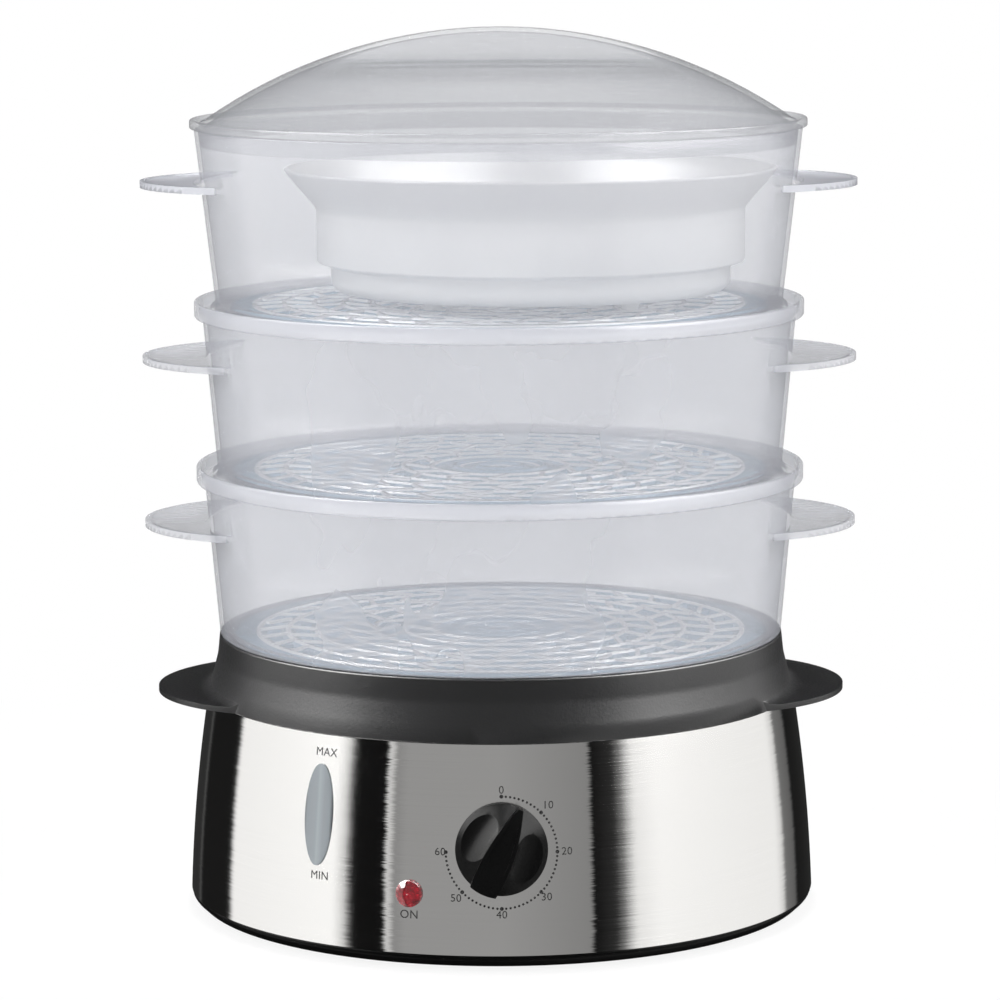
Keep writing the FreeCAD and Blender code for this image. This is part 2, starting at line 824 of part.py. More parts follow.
def timer_case():
    """Clockwork case behind the band, with a threaded bush out through it and two tags below."""
    parts = [
        disc(timer_case_radius, -timer_case_gap - timer_case_depth, -timer_case_gap),
        disc(timer_bush_radius, -timer_case_gap - 1, timer_bush_reach),
    ]
    for side in (-1, 1):
        y = -timer_case_radius - timer_tag_overhang
        z = -timer_case_gap - timer_tag_depth - timer_tag_length
        corner = Vector(side * timer_tag_offset, y, z)
        parts.append(Part.makeBox(timer_tag_thickness, timer_tag_width, timer_tag_length, corner))
    body = fused(parts)
    bore = disc(timer_shaft_radius + shaft_clearance, -timer_shaft_tail, timer_bush_reach + 1)
    return on_panel(body.cut(bore), 0, timer_height)


def timer_nut():
    """Hexagon nut that clamps the bush to the band."""
    corners = circle_spots(6, timer_nut_width / math.sqrt(3))
    wire = Part.makePolygon([Vector(x, y, 0) for x, y in corners + corners[:1]])
    nut = Part.Face(wire).extrude(Vector(0, 0, timer_nut_thickness))
    thread = disc(timer_bush_radius + shaft_clearance, -1, timer_nut_thickness + 1)
    return on_panel(nut.cut(thread), 0, timer_height)


def timer_bell():
    """Bell cup on the back of the case."""
    back = -timer_case_gap - timer_case_depth
    cup = disc(timer_bell_radius, back - timer_bell_depth, back)
    hollow = disc(timer_bell_radius - timer_bell_wall, back - timer_bell_depth + timer_bell_wall, back + 1)
    stem = disc(timer_bell_stem, back - timer_bell_depth, back)
    return on_panel(cup.cut(hollow).fuse(stem), 0, timer_height)


def timer_shaft():
    """Shaft from the clockwork to the knob, with a flat."""
    tail = -timer_shaft_tail + fixed_clearance
    shaft = disc(timer_shaft_radius, tail, timer_shaft_nose)
    corner = Vector(
        -timer_shaft_radius, timer_shaft_radius - timer_shaft_flat, timer_shaft_nose - timer_shaft_flat_length
    )
    flat = Part.makeBox(2 * timer_shaft_radius, timer_shaft_radius, 2 * timer_shaft_flat_length, corner)
    return on_panel(shaft.cut(flat), 0, timer_height)


def grip_edges():
    """The arcs of the leaf-shaped grip's two long edges: radius, and a centre for each side."""
    length = knob_pointer_reach + knob_tail_reach
    taper = math.atan2(knob_tail_half_width - knob_pointer_half_width, length)
    radius = (length**2 / 4 + knob_grip_bulge**2) / (2 * knob_grip_bulge)
    half_width = (knob_tail_half_width + knob_pointer_half_width) / 2 + knob_grip_bulge
    middle = Vector(0, (knob_pointer_reach - knob_tail_reach) / 2, 0)
    centres = []
    for side in (-1, 1):
        across = Vector(side * math.cos(taper), math.sin(taper), 0)
        centres.append(middle + across * (half_width - radius))
    return radius, centres


def leaf(inset, low, high):
    """Prism on the grip's outline, drawn in by an inset."""
    radius, centres = grip_edges()
    halves = [disc(radius - inset, low, high, centre.x, centre.y) for centre in centres]
    return halves[0].common(halves[1])


def timer_knob():
    """Round knob whose two scoops leave a leaf-shaped grip, with a hollow along its back."""
    top = knob_gap + knob_height
    body = disc(knob_radius, knob_gap, top)
    back = [edge for edge in body.Edges if edge.BoundBox.ZMax < knob_gap + 0.1]
    body = body.makeFillet(knob_back_round, back)
    crown = Part.makeSphere(knob_crown_radius, Vector(0, 0, top - knob_crown_radius))
    body = body.common(crown)
    axis_height = knob_gap + knob_disc_height + knob_scoop_radius
    half_chord = math.sqrt(knob_scoop_radius**2 - (axis_height - top) ** 2)
    edge_radius, centres = grip_edges()
    for centre in centres:
        hub = Vector(centre.x, centre.y, axis_height)
        body = body.cut(Part.makeTorus(edge_radius + half_chord, knob_scoop_radius, hub, Vector(0, 0, 1)))
    chamfer_foot = knob_gap + knob_disc_height - knob_chamfer
    bevel = Part.makeCone(knob_radius, 0, knob_radius, Vector(0, 0, chamfer_foot))
    rim = disc(2 * knob_radius, chamfer_foot, 2 * top).cut(bevel).cut(leaf(0, 0, 3 * top))
    body = body.cut(rim)
    trough = Part.makeCylinder(
        knob_valley_radius,
        4 * knob_radius,
        Vector(0, -2 * knob_radius, top - knob_valley_depth + knob_valley_radius),
        Vector(0, 1, 0),
    )
    body = body.cut(trough.common(leaf(knob_crest_width, 0, 3 * top)))
    body = body.cut(disc(knob_hollow_radius, 0, knob_gap + knob_hollow_depth))
    body = body.cut(disc(timer_shaft_radius + shaft_clearance, 0, timer_shaft_nose + fixed_clearance))
    body.rotate(Vector(0, 0, 0), Vector(0, 0, 1), -knob_pointer_angle)
    return on_panel(body, 0, timer_height)


def indicator_lens():
    """Red lens with a domed face and a hollow stem."""
    dome_radius = (lens_radius**2 + lens_dome**2) / (2 * lens_dome)
    cap = Part.makeSphere(dome_radius, Vector(0, 0, lens_rim + lens_dome - dome_radius))
    cap = cap.common(disc(lens_radius, lens_rim - 0.01, lens_rim + lens_dome + 1))
    body = fused([disc(lens_radius, 0, lens_rim), cap, disc(lens_stem_radius, -lens_stem_length, 0.5)])
    hollow = disc(lens_stem_radius - lens_wall, -lens_stem_length - 1, -lens_wall)
    return on_panel(body.cut(hollow), lamp_angle, lamp_height)


def lamp_holder():
    """Holder that grips the lens's stem behind the band."""
    back = -lamp_holder_gap - lamp_holder_length
    body = disc(lamp_holder_radius, back, -lamp_holder_gap)
    socket = disc(lens_stem_radius + shaft_clearance, -lens_stem_length - 1, 1)
    well = disc(lamp_bulb_radius + shaft_clearance, -lens_stem_length - 2, 1)
    return on_panel(body.cut(socket).cut(well), lamp_angle, lamp_height)


def lamp_bulb():
    """Neon lamp in the holder, inside the lens's stem."""
    base = -lens_stem_length - 2
    body = disc(lamp_bulb_radius, base, base + lamp_bulb_length - lamp_bulb_radius)
    tip = Part.makeSphere(lamp_bulb_radius, Vector(0, 0, base + lamp_bulb_length - lamp_bulb_radius))
    return on_panel(fused([body, tip]), lamp_angle, lamp_height)


def cord_gland():
    """Flanged bush for the mains lead, clamped in the rear panel by its nut."""
    body = revolved(
        [
            (gland_bore, -gland_length_inside),
            (gland_body_radius, -gland_length_inside),
            (gland_body_radius, 0),
            (gland_flange_radius, 0),
            (gland_flange_radius, gland_flange_thickness, 1.0),
            (gland_body_radius, gland_flange_thickness),
            (gland_tail_radius, gland_length_outside, 1.0),
            (gland_bore, gland_length_outside),
        ]
    )
    return on_panel(body, gland_angle, gland_height)


def gland_nut():
    """Round nut on the gland inside the band."""
    body = tube_ring(
        gland_body_radius + shaft_clearance,
        gland_flange_radius,
        -gland_nut_gap - gland_nut_thickness,
        -gland_nut_gap,
    )
    return on_panel(body, gland_angle, gland_height)


def saddle_level():
    """Height of the clamp saddle's underside, at the axis of the lead less its radius."""
    return gland_height - gland_bore - clamp_saddle_thickness


def clamp_posts():
    """Two posts on the cover that carry the cord clamp, drawn at the front."""
    spots = [side * (clamp_saddle_length / 2 - clamp_post_radius) for side in (-1, 1)]
    return [
        disc(clamp_post_radius, cover_top - 1, saddle_level(), x, -clamp_saddle_circle) for x in spots
    ]


def cord_clamp():
    """Bar on the two posts, under the mains lead."""
    bar = Part.makeBox(
        clamp_saddle_length,
        clamp_saddle_depth,
        clamp_saddle_thickness,
        Vector(-clamp_saddle_length / 2, -clamp_saddle_circle - clamp_saddle_depth / 2, saddle_level()),
    )
    groove = Part.makeCylinder(
        gland_bore,
        clamp_saddle_depth + 2,
        Vector(0, -clamp_saddle_circle - clamp_saddle_depth / 2 - 1, gland_height - clamp_groove_sink),
        Vector(0, 1, 0),
    )
    return turned(bar.cut(groove), gland_angle)


def terminal_block():
    """Three-way block on the bottom cover, where the mains lead joins the inner leads."""
    block = Part.makeBox(
        terminal_length,
        terminal_depth,
        terminal_height,
        Vector(-terminal_length / 2, -terminal_circle - terminal_depth / 2, cover_top),
    )
    pitch = terminal_length / terminal_ways
    low = cover_top + terminal_pocket_floor
    high = cover_top + terminal_height + 1
    for way in range(terminal_ways):
        x = (way + 0.5) * pitch - terminal_length / 2
        block = block.cut(disc(terminal_pocket_radius, low, high, x, -terminal_circle))
    return turned(block, terminal_angle)


def terminal_spot(way, inset):
    """Point beside the terminal block's inner face, at one of its ways."""
    pitch = terminal_length / terminal_ways
    x = (way + 0.5) * pitch - terminal_length / 2
    spot = Vector(x, -terminal_circle + terminal_depth / 2 + inset, lead_level)
    return Rotation(Vector(0, 0, 1), terminal_angle).multVec(spot)


def leads():
    """Three inner leads on the bottom cover: to the timer, from it to the heater, and the return."""
    tag_y = timer_case_gap + timer_tag_depth + timer_tag_length / 2 - band_radius(timer_height)
    tag_z = timer_height - timer_case_radius - timer_tag_overhang - 2 * lead_gap
    tag_right = timer_tag_offset + timer_tag_thickness / 2
    tag_left = timer_tag_thickness / 2 - timer_tag_offset
    live = lead(
        [
            terminal_spot(0, 0),
            terminal_spot(0, lead_stub),
            Vector(cover_screw_circle - 36, 20, lead_level),
            Vector(36, tag_y + 66, lead_level),
            Vector(10, tag_y + 22, lead_level),
            Vector(tag_right, tag_y, lead_level + 2),
            Vector(tag_right, tag_y - 1, tag_z),
        ]
    )
    coil_x = coil_ring_radius * math.sin(math.radians((360 - coil_sweep) / 2))
    coil_y = -coil_ring_radius * math.cos(math.radians((360 - coil_sweep) / 2))
    coil_level = boss_bottom - coil_wire_radius - coil_end_length / 2 - lead_radius - lead_gap
    switched = lead(
        [
            Vector(tag_left, tag_y - 1, tag_z),
            Vector(tag_left, tag_y, lead_level + 2),
            Vector(-14, tag_y + 26, lead_low_level),
            Vector(-22, tag_y + 66, lead_low_level),
            Vector(-coil_x - 8, coil_y - 14, lead_low_level),
            Vector(-coil_x, coil_y - 2, coil_level),
        ]
    )
    neutral = lead(
        [
            terminal_spot(2, 0),
            terminal_spot(2, lead_stub),
            Vector(coil_x + 32, 30, lead_low_level),
            Vector(coil_x + 24, -14, lead_low_level),
            Vector(coil_x + 8, coil_y - 8, lead_low_level),
            Vector(coil_x, coil_y - 2, coil_level),
        ]
    )
    return {"lead_live": live, "lead_switched": switched, "lead_neutral": neutral}


def steam_sleeve():
    """Tube that stands round the heater, notched at the foot so that water gets in."""
    foot = tank_floor_height + seat_clearance
    body = revolved(
        [
            (sleeve_radius - sleeve_wall, foot),
            (sleeve_radius + sleeve_flange, foot, 0.5),
            (sleeve_radius + sleeve_flange, foot + sleeve_wall, 0.5),
            (sleeve_radius, foot + sleeve_wall),
            (sleeve_radius, foot + sleeve_height, 0.6),
            (sleeve_radius - sleeve_wall, foot + sleeve_height, 0.6),
        ]
    )
    corner = Vector(sleeve_radius - 2 * sleeve_wall, -sleeve_notch_width / 2, foot - 1)
    length = 3 * sleeve_wall + sleeve_flange
    notch = Part.makeBox(length, sleeve_notch_width, sleeve_notch_height, corner)
    for index in range(sleeve_notch_count):
        body = body.cut(turned(notch, 360.0 * index / sleeve_notch_count))
    return body


def drip_tray():
    """Dish on the tank's ledge, with a chimney for the steam and a skirt over the sleeve."""
    floor = ledge_top + seat_clearance
    guide = sleeve_radius + tray_guide_gap
    return revolved(
        [
            (chimney_radius - tray_wall, floor),
            (guide, floor),
            (guide, floor - tray_guide_depth),
            (guide + tray_wall, floor - tray_guide_depth),
            (guide + tray_wall, floor),
            (tray_radius, floor, 1.5),
            (tray_radius, floor + tray_rim_height, 0.8),
            (tray_radius - tray_wall, floor + tray_rim_height, 0.8),
            (tray_radius - tray_wall, floor + tray_wall, 1.5),
            (chimney_radius, floor + tray_wall, 2.0),
            (chimney_radius, floor + chimney_height, 0.8),
            (chimney_radius - tray_wall, floor + chimney_height, 0.8),
        ]
    )


def basket_foot(seat):
    """Inner and outer corners of a basket ring's foot and spigot, from the inside round to the wall."""
    ledge = spigot_radius - basket_wall
    inside = [
        (basket_foot_radius - basket_wall, seat + seat_clearance + basket_wall),
        (ledge, seat + seat_clearance + basket_wall, 0.8),
        (ledge, seat - basket_spigot_depth + grid_shelf),
        (ledge - basket_spigot_flange, seat - basket_spigot_depth + grid_shelf, 0.5),
    ]
    outside = [
        (ledge - basket_spigot_flange, seat - basket_spigot_depth, 0.5),
        (spigot_radius, seat - basket_spigot_depth, 0.5),
        (spigot_radius, seat + seat_clearance),
        (basket_foot_radius, seat + seat_clearance, 0.6),
    ]
    return inside, outside


def wall_radius(seat, height, top, top_radius):
    """Outer radius of a basket wall at a height."""
    share = (height - seat - seat_clearance) / (top - seat - seat_clearance)
    return basket_foot_radius + share * (top_radius - basket_foot_radius)


def stacking_basket(seat):
    """Basket ring whose rim carries the next one on a shelf, with a channel round it."""
    inside, outside = basket_foot(seat)
    shelf = seat + seat_pitch
    lip_top = shelf + rim_lip_rise
    band_low = lip_top - rim_height
    shoulder = basket_shoulder_radius
    body = revolved(
        inside
        + outside
        + [
            (shoulder, band_low, 0.6),
            (rim_radius, band_low, 1.4),
            (rim_radius, lip_top, 1.0),
            (rim_radius - rim_lip, lip_top, 1.0),
            (rim_radius - rim_lip, band_low + basket_wall, 0.8),
            (shelf_radius, band_low + basket_wall, 0.8),
            (shelf_radius, shelf, 0.6),
            (collar_inner_radius, shelf, 0.6),
            (collar_inner_radius, shelf - basket_wall, 0.6),
            (shelf_radius - basket_wall, shelf - basket_wall),
            (shelf_radius - basket_wall, band_low),
            (shoulder - basket_wall, band_low, 0.6),
        ]
    )
    middle = seat + basket_handle_height
    root = wall_radius(seat, middle, band_low, shoulder) - basket_wall / 2
    return fused([body] + basket_tabs(middle, root))


def top_basket():
    """Plain-rimmed basket ring that the lid closes."""
    seat = seats[2]
    inside, outside = basket_foot(seat)
    rim = [(top_basket_radius, top_rim, 0.7), (top_basket_radius - basket_wall, top_rim, 0.7)]
    body = revolved(inside + outside + rim)
    middle = seat + top_handle_height
    root = wall_radius(seat, middle, top_rim, top_basket_radius) - basket_wall / 2
    return fused([body] + basket_tabs(middle, root))


def arc_slot(radius, width, start, end):
    """Closed wire of a slot that follows a circle, in the XY plane."""
    near = radius - width / 2
    far = radius + width / 2

    def at(distance, angle):
        return Vector(distance * math.cos(angle), distance * math.sin(angle), 0)

    middle = (start + end) / 2
    return Part.Wire(
        [
            Part.Arc(at(near, start), at(near, middle), at(near, end)).toShape(),
            Part.makeLine(at(near, end), at(far, end)),
            Part.Arc(at(far, end), at(far, middle), at(far, start)).toShape(),
            Part.makeLine(at(far, start), at(near, start)),
        ]
    )


def floor_grid():
    """The lowest basket's floor: solid hub, then rings of staggered slots, with low ribs on top."""
    wires = [Part.Wire(Part.makeCircle(grid_radius))]
    for ring in range(grid_ring_count):
        radius = grid_hub_radius + grid_ring_pitch * (ring + 0.5)
        count = int(round(2 * math.pi * radius / grid_slot_spacing))
        step = 2 * math.pi / count
        bar = grid_bar_width / radius
        for index in range(count):
            start = step * (index + 0.5 * (ring % 2)) + bar / 2
            wires.append(arc_slot(radius, grid_slot_width, start, start + step - bar))
    plate = Part.makeFace(wires, "Part::FaceMakerBullseye").extrude(Vector(0, 0, grid_thickness))
    plate.translate(Vector(0, 0, grid_bottom))
    radii = [grid_hub_radius + grid_ring_pitch * ring for ring in range(grid_ring_count + 1)]
    radii += [grid_hub_radius * (ring + 1) / (grid_hub_ribs + 1) for ring in range(grid_hub_ribs)]
    low = grid_bottom + grid_thickness - grid_rib_sink
    half = grid_rib_width / 2
    return fused([plate] + [tube_ring(radius - half, radius + half, low, grid_top) for radius in radii])


def rice_bowl():
    """Bowl with a stepped wall, a flared rim and four feet, set to one side in the top basket."""
    low = bowl_bottom
    step = low + bowl_lower_height
    flare = step + bowl_upper_height
    rim = flare + bowl_flare_height
    wall = bowl_wall
    body = revolved(
        [
            (0, low),
            (bowl_lower_radius, low, bowl_round),
            (bowl_lower_radius, step, 1.0),
            (bowl_upper_radius, step + bowl_step_rise, 1.5),
            (bowl_upper_radius, flare, bowl_round),
            (bowl_rim_radius, rim, 0.8),
            (bowl_rim_radius - 1.4 * wall, rim, 0.8),
            (bowl_upper_radius - wall, flare, bowl_round - wall),
            (bowl_upper_radius - wall, step + bowl_step_rise + wall, 1.0),
            (bowl_lower_radius - wall, step + wall, 1.0),
            (bowl_lower_radius - wall, low + wall, bowl_round - wall),
            (0, low + wall),
        ]
    )
    feet_made = [
        disc(bowl_foot_radius, low - bowl_foot_height, low + 1, x, y)
        for x, y in circle_spots(bowl_foot_count, bowl_foot_circle, 45)
    ]
    body = fused([body] + feet_made)
    body.translate(Vector(bowl_offset, 0, 0))
    return body


def scoop(side, offset):
    """Cutter for one side of the lid's grip, grown by an offset."""
    floor = lid_top - scoop_floor_drop
    rise = scoop_floor_drop - crest_edge_drop
    across = scoop_floor_reach - crest_half_width
    radius = (across**2 + rise**2) / (2 * rise)
    centre = Vector(0, side * scoop_floor_reach, floor + radius)
    grown = radius + offset
    top_angle = math.asin(across / radius)
    high_angle = top_angle + 0.25
    far = side * (lid_flange_radius + 10)

    def at(angle):
        return centre + Vector(0, -side * grown * math.sin(angle), -grown * math.cos(angle))

    start = at(0)
    end = at(high_angle)
    roof = lid_top + 40
    edges = [
        Part.Arc(start, at(high_angle / 2), end).toShape(),
        Part.makeLine(end, Vector(0, end.y, roof)),
        Part.makeLine(Vector(0, end.y, roof), Vector(0, far, roof)),
        Part.makeLine(Vector(0, far, roof), Vector(0, far, start.z)),
        Part.makeLine(Vector(0, far, start.z), start),
    ]
    face = Part.Face(Part.Wire(edges))
    face.translate(Vector(-lid_flange_radius - 10, 0, 0))
    return face.extrude(Vector(2 * lid_flange_radius + 20, 0, 0))


def dome(offset):
    """Solid cap of the lid's sphere, shrunk by an offset, down to the lid's seat."""
    ball = Part.makeSphere(lid_dome_radius - offset, Vector(0, 0, lid_top - lid_dome_radius))
    cap = ball.common(disc(lid_flange_radius + 20, lid_seat, lid_top + 10))
    for side in (-1, 1):
        cap = cap.cut(scoop(side, offset))
    return cap


def lid():
    """Clear dome with an arched grip between two scoops, a flat rim and a spigot."""
    wall_top = top_basket_radius - basket_wall
    wall_low = wall_radius(seats[2], lid_seat - lid_spigot_depth, top_rim, top_basket_radius) - basket_wall
    high_radius = wall_top - lid_spigot_clearance
    low_radius = wall_low - lid_spigot_clearance
    rim = revolved(
        [
            (lid_dome_edge, lid_seat + lid_dome_foot),
            (low_radius - lid_spigot_wall, lid_seat - lid_spigot_depth, 0.6),
            (low_radius, lid_seat - lid_spigot_depth, 0.6),
            (high_radius, lid_seat),
            (lid_flange_radius, lid_seat, 0.8),
            (lid_flange_radius, lid_seat + lid_flange_height, 1.0),
            (lid_flange_radius - lid_spigot_wall, lid_seat + lid_flange_height, 0.6),
            (lid_flange_radius - lid_flange_width, lid_seat + lid_spigot_wall),
            (lid_dome_edge + lid_spigot_wall / 2, lid_seat + lid_dome_foot),
        ]
    )
    bound = disc(high_radius - lid_spigot_wall / 8, lid_seat, lid_top + 1)
    return fused([dome(0).common(bound).cut(dome(lid_thickness)), rim])


def build():
    """Every node of the steamer by name."""
    nodes = {
        "rubber_feet": feet(),
        "bottom_cover": bottom_cover(),
        "cover_screws": cover_screws(),
        "steel_band": steel_band(),
        "rear_panel": rear_panel(),
        "upper_housing": upper_housing(),
        "water_tank": water_tank(),
        "gauge_window": gauge_window(),
        "gauge_seal": gauge_seal(),
        "gauge_chamber": gauge_chamber(),
        "gauge_tube": gauge_tube(),
        "heater_plate": heater_plate(),
        "heater_seal": heater_seal(),
        "heater_clamp_ring": heater_clamp_ring(),
        "heater_screws": heater_screws(),
        "heater_coil": heater_coil(),
        "thermostat": thermostat(),
        "thermal_fuse": thermal_fuse(),
        "timer_case": timer_case(),
        "timer_nut": timer_nut(),
        "timer_bell": timer_bell(),
        "timer_shaft": timer_shaft(),
        "timer_knob": timer_knob(),
        "indicator_lens": indicator_lens(),
        "lamp_holder": lamp_holder(),
        "lamp_bulb": lamp_bulb(),
        "cord_gland": cord_gland(),
        "gland_nut": gland_nut(),
        "cord_clamp": cord_clamp(),
        "terminal_block": terminal_block(),
        "steam_sleeve": steam_sleeve(),
        "drip_tray": drip_tray(),
        "lower_basket": stacking_basket(seats[0]),
        "middle_basket": stacking_basket(seats[1]),
        "top_basket": top_basket(),
        "rice_bowl": rice_bowl(),
        "lid": lid(),
    }
    lower_floor = floor_grid()
    for level, name in enumerate(("lower_floor_grid", "middle_floor_grid", "top_floor_grid")):
        grid = lower_floor.copy()
        grid.translate(Vector(0, 0, level * seat_pitch))
        nodes[name] = grid
    nodes.update(leads())
    return nodes


os.makedirs("parts", exist_ok=True)
for node_name, node_shape in build().items():
    solids = [solid.isValid() for solid in node_shape.Solids]
    print(node_name, len(solids), "solids", "valid" if all(solids) else "NOT VALID", round(node_shape.Volume))
    node_shape.exportStep(os.path.join("parts", node_name + ".step"))
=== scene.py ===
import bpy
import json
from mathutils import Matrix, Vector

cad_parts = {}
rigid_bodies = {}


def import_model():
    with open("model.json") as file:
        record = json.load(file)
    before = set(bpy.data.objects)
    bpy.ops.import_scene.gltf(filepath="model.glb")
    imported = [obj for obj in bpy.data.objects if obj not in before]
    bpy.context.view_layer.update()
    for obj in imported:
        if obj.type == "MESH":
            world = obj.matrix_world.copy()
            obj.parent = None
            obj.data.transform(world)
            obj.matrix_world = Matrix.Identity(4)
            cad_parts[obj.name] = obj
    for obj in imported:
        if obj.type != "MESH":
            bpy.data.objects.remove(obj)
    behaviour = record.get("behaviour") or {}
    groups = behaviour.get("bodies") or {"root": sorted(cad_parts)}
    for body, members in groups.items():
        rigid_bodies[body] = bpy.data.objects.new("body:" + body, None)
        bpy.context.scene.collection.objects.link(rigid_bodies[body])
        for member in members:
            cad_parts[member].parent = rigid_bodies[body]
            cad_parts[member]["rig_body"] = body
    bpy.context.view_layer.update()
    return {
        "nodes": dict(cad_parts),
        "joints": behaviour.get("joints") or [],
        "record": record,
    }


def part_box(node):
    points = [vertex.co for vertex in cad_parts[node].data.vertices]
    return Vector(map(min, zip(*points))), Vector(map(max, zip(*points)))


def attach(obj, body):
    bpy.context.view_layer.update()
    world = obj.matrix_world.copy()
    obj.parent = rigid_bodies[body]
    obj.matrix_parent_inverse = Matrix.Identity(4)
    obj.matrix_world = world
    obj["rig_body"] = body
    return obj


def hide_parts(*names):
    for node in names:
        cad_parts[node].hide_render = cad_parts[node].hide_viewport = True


bl_info = {
    "name": "Food Steamer Dressing",
    "version": (1, 0, 0),
    "blender": (4, 5, 0),
    "location": "View3D > Sidebar > Steamer",
    "description": "Finishes an electric food steamer: brushed base, milky baskets, bowl and clear lid",
    "category": "Object",
}

import json
import math

import bmesh
import bpy
from bpy.props import FloatProperty, FloatVectorProperty, IntProperty, PointerProperty
from mathutils import Matrix, Vector

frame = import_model()
nodes = frame["nodes"]

# Heights and radii read from the frame, in metres
BAND_LOW, BAND_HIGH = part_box("steel_band")
GRID_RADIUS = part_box("lower_floor_grid")[1].x
SLOTS = {row["node"]: row["material_slot"] for row in frame["record"]["subparts"]}
TIMER = next(joint for joint in frame["joints"] if joint["name"] == "timer_turn")

# The steel band's section: an arc between its two edges, as in the part
BAND_BOTTOM_RADIUS = BAND_HIGH.x
BAND_TOP_RADIUS = 0.1349
BAND_BULGE = 0.0014

# Openings of the band: half sizes, and places as an angle from the front in degrees and a height
SHAFT_HOLE = (0.0051, 0.0051)
LAMP_HOLE = (0.0045, 0.0045)
LAMP_PLACE = (-16.3, 0.0339)
GAUGE_HOLE = (0.0074, 0.0224)
GAUGE_PLACE = (-34.8, 0.064)

# Half the angle that the panel behind the band fills, from its middle to the band's end, in degrees
REAR_HALF = 17.05

# The dial's print is centred a little under the knob, turns by its sweep in degrees over its whole
# span, and has its figures at their own radii
DIAL_DROP = 0.0018
DIAL_SWEEP = 270.0
FIGURE_REACH = (0.0269, 0.0285, 0.0284, 0.0275, 0.0269, 0.0281, 0.0267)

# The ring ribs of the basket floors
HUB_RADIUS = 0.031
FLOOR_RINGS = 6
FLOOR_EDGE = 0.0111
RING_PITCH = (GRID_RADIUS - FLOOR_EDGE - HUB_RADIUS) / FLOOR_RINGS

# Radii past which the baskets' rim bands and tabs begin
RIM_START = 0.1362
TAB_START = 0.1384

# What metal and gloss see round the object: angle from the front in degrees, towards +X, and level
SURROUNDINGS = (
    (-180, 0.03), (-152, 0.03), (-149, 0.08), (-146, 0.012), (-121.5, 0.012), (-119.5, 0.05),
    (-116.5, 1.13), (-64, 1.24), (-59.5, 0.8), (-57, 0.1), (-55.5, 0.006), (-43.2, 0.006),
    (-42.4, 0.8), (-41.2, 0.8), (-40.2, 0.3), (-35, 0.37), (0, 0.37), (32.6, 0.28), (33.2, 0.006),
    (42, 0.03), (45, 0.2), (50, 1.02), (60, 1.19), (122, 1.08), (127, 0.8), (129.5, 0.2),
    (138, 0.14), (141, 0.012), (180, 0.03),
)


def colour(name, description, default):
    """A colour that a user may change."""
    return FloatVectorProperty(
        name=name, description=description, default=default, size=3, subtype="COLOR", min=0.0, max=1.0
    )


def length(name, description, default):
    """A length that a user may change."""
    return FloatProperty(name=name, description=description, default=default, unit="LENGTH", precision=4)


class SteamerColours(bpy.types.PropertyGroup):
    """Colours of the steamer's finishes."""

    steel: colour("Steel", "Brushed steel band", (0.76, 0.755, 0.745))
    moulding: colour("Moulding", "Dark collar with its handles", (0.007, 0.007, 0.0075))
    skirt: colour("Skirt", "Black skirt under the band and panel behind it", (0.002, 0.002, 0.002))
    milky: colour("Milky plastic", "Basket walls", (0.74, 0.75, 0.80))
    floor: colour("Basket floor", "Clear, wet basket floors", (0.40, 0.60, 0.76))
    # The ribs' near white is partly their own colour and partly painted highlight, standing in for glints on
    # them
    rib: colour("Floor ribs", "Ribs on the basket floors", (0.97, 0.985, 1.0))
    lid: colour("Lid", "Clear lid", (0.66, 0.67, 0.70))
    bowl: colour("Bowl", "Opaque rice bowl", (0.92, 0.92, 0.92))
    knob: colour("Knob", "Timer knob", (0.004, 0.004, 0.004))
    lens: colour("Lens", "Indicator lens", (0.29, 0.006, 0.015))
    gauge: colour("Gauge", "Water window", (0.26, 0.285, 0.30))
    print_ink: colour("Print", "Dial figures and words", (0.012, 0.012, 0.012))


class SteamerSizes(bpy.types.PropertyGroup):
    """Sizes of the details added to the steamer."""

    dot_circle: length("Dot circle", "Radius of the dial's ring of dots", 0.0242)
    dot_radius: length("Dot", "Radius of a minute dot", 0.00052)
    ten_dot_radius: length("Ten-minute dot", "Radius of a ten-minute dot", 0.00085)
    figure_height: length("Figures", "Height of the dial's figures", 0.0034)
    word_height: length("Words", "Height of the words by the window", 0.0037)
    on_height: length("ON", "Height of the word under the lamp", 0.0037)
    rib_height: length("Floor rib height", "Height of the basket floors' ribs", 0.0012)
    rib_width: length("Floor rib width", "Width of the basket floors' ribs", 0.0021)
    lid_round: length("Lid crease", "Rounding of the lid's creases", 0.0016)
    edge_round: length("Moulding edge", "Rounding of the mouldings' edges", 0.0004)
    minutes: IntProperty(name="Minutes", description="Span of the dial", default=60, min=10, max=120)
    seed: IntProperty(name="Seed", description="Seed of the floor ribs' unevenness", default=3, min=0)


def section_arc():
    """Centre radius, centre height and radius of the steel band's outer arc."""
    low, high = BAND_LOW.z, BAND_HIGH.z
    chord = math.hypot(BAND_BOTTOM_RADIUS - BAND_TOP_RADIUS, high - low)
    radius = (chord**2 / 4 + BAND_BULGE**2) / (2 * BAND_BULGE)
    lean = math.atan2(BAND_BOTTOM_RADIUS - BAND_TOP_RADIUS, high - low)
    reach = radius - BAND_BULGE
    centre_radius = (BAND_BOTTOM_RADIUS + BAND_TOP_RADIUS) / 2 - reach * math.cos(lean)
    return centre_radius, (low + high) / 2 - reach * math.sin(lean), radius


ARC_CENTRE_RADIUS, ARC_CENTRE_HEIGHT, ARC_RADIUS = section_arc()


def band_radius(height, inset=0.0):
    """Radius of the band's outer face at a height, or of a face set in from it."""
    rise = height - ARC_CENTRE_HEIGHT
    return ARC_CENTRE_RADIUS + math.sqrt((ARC_RADIUS - inset) ** 2 - rise**2)


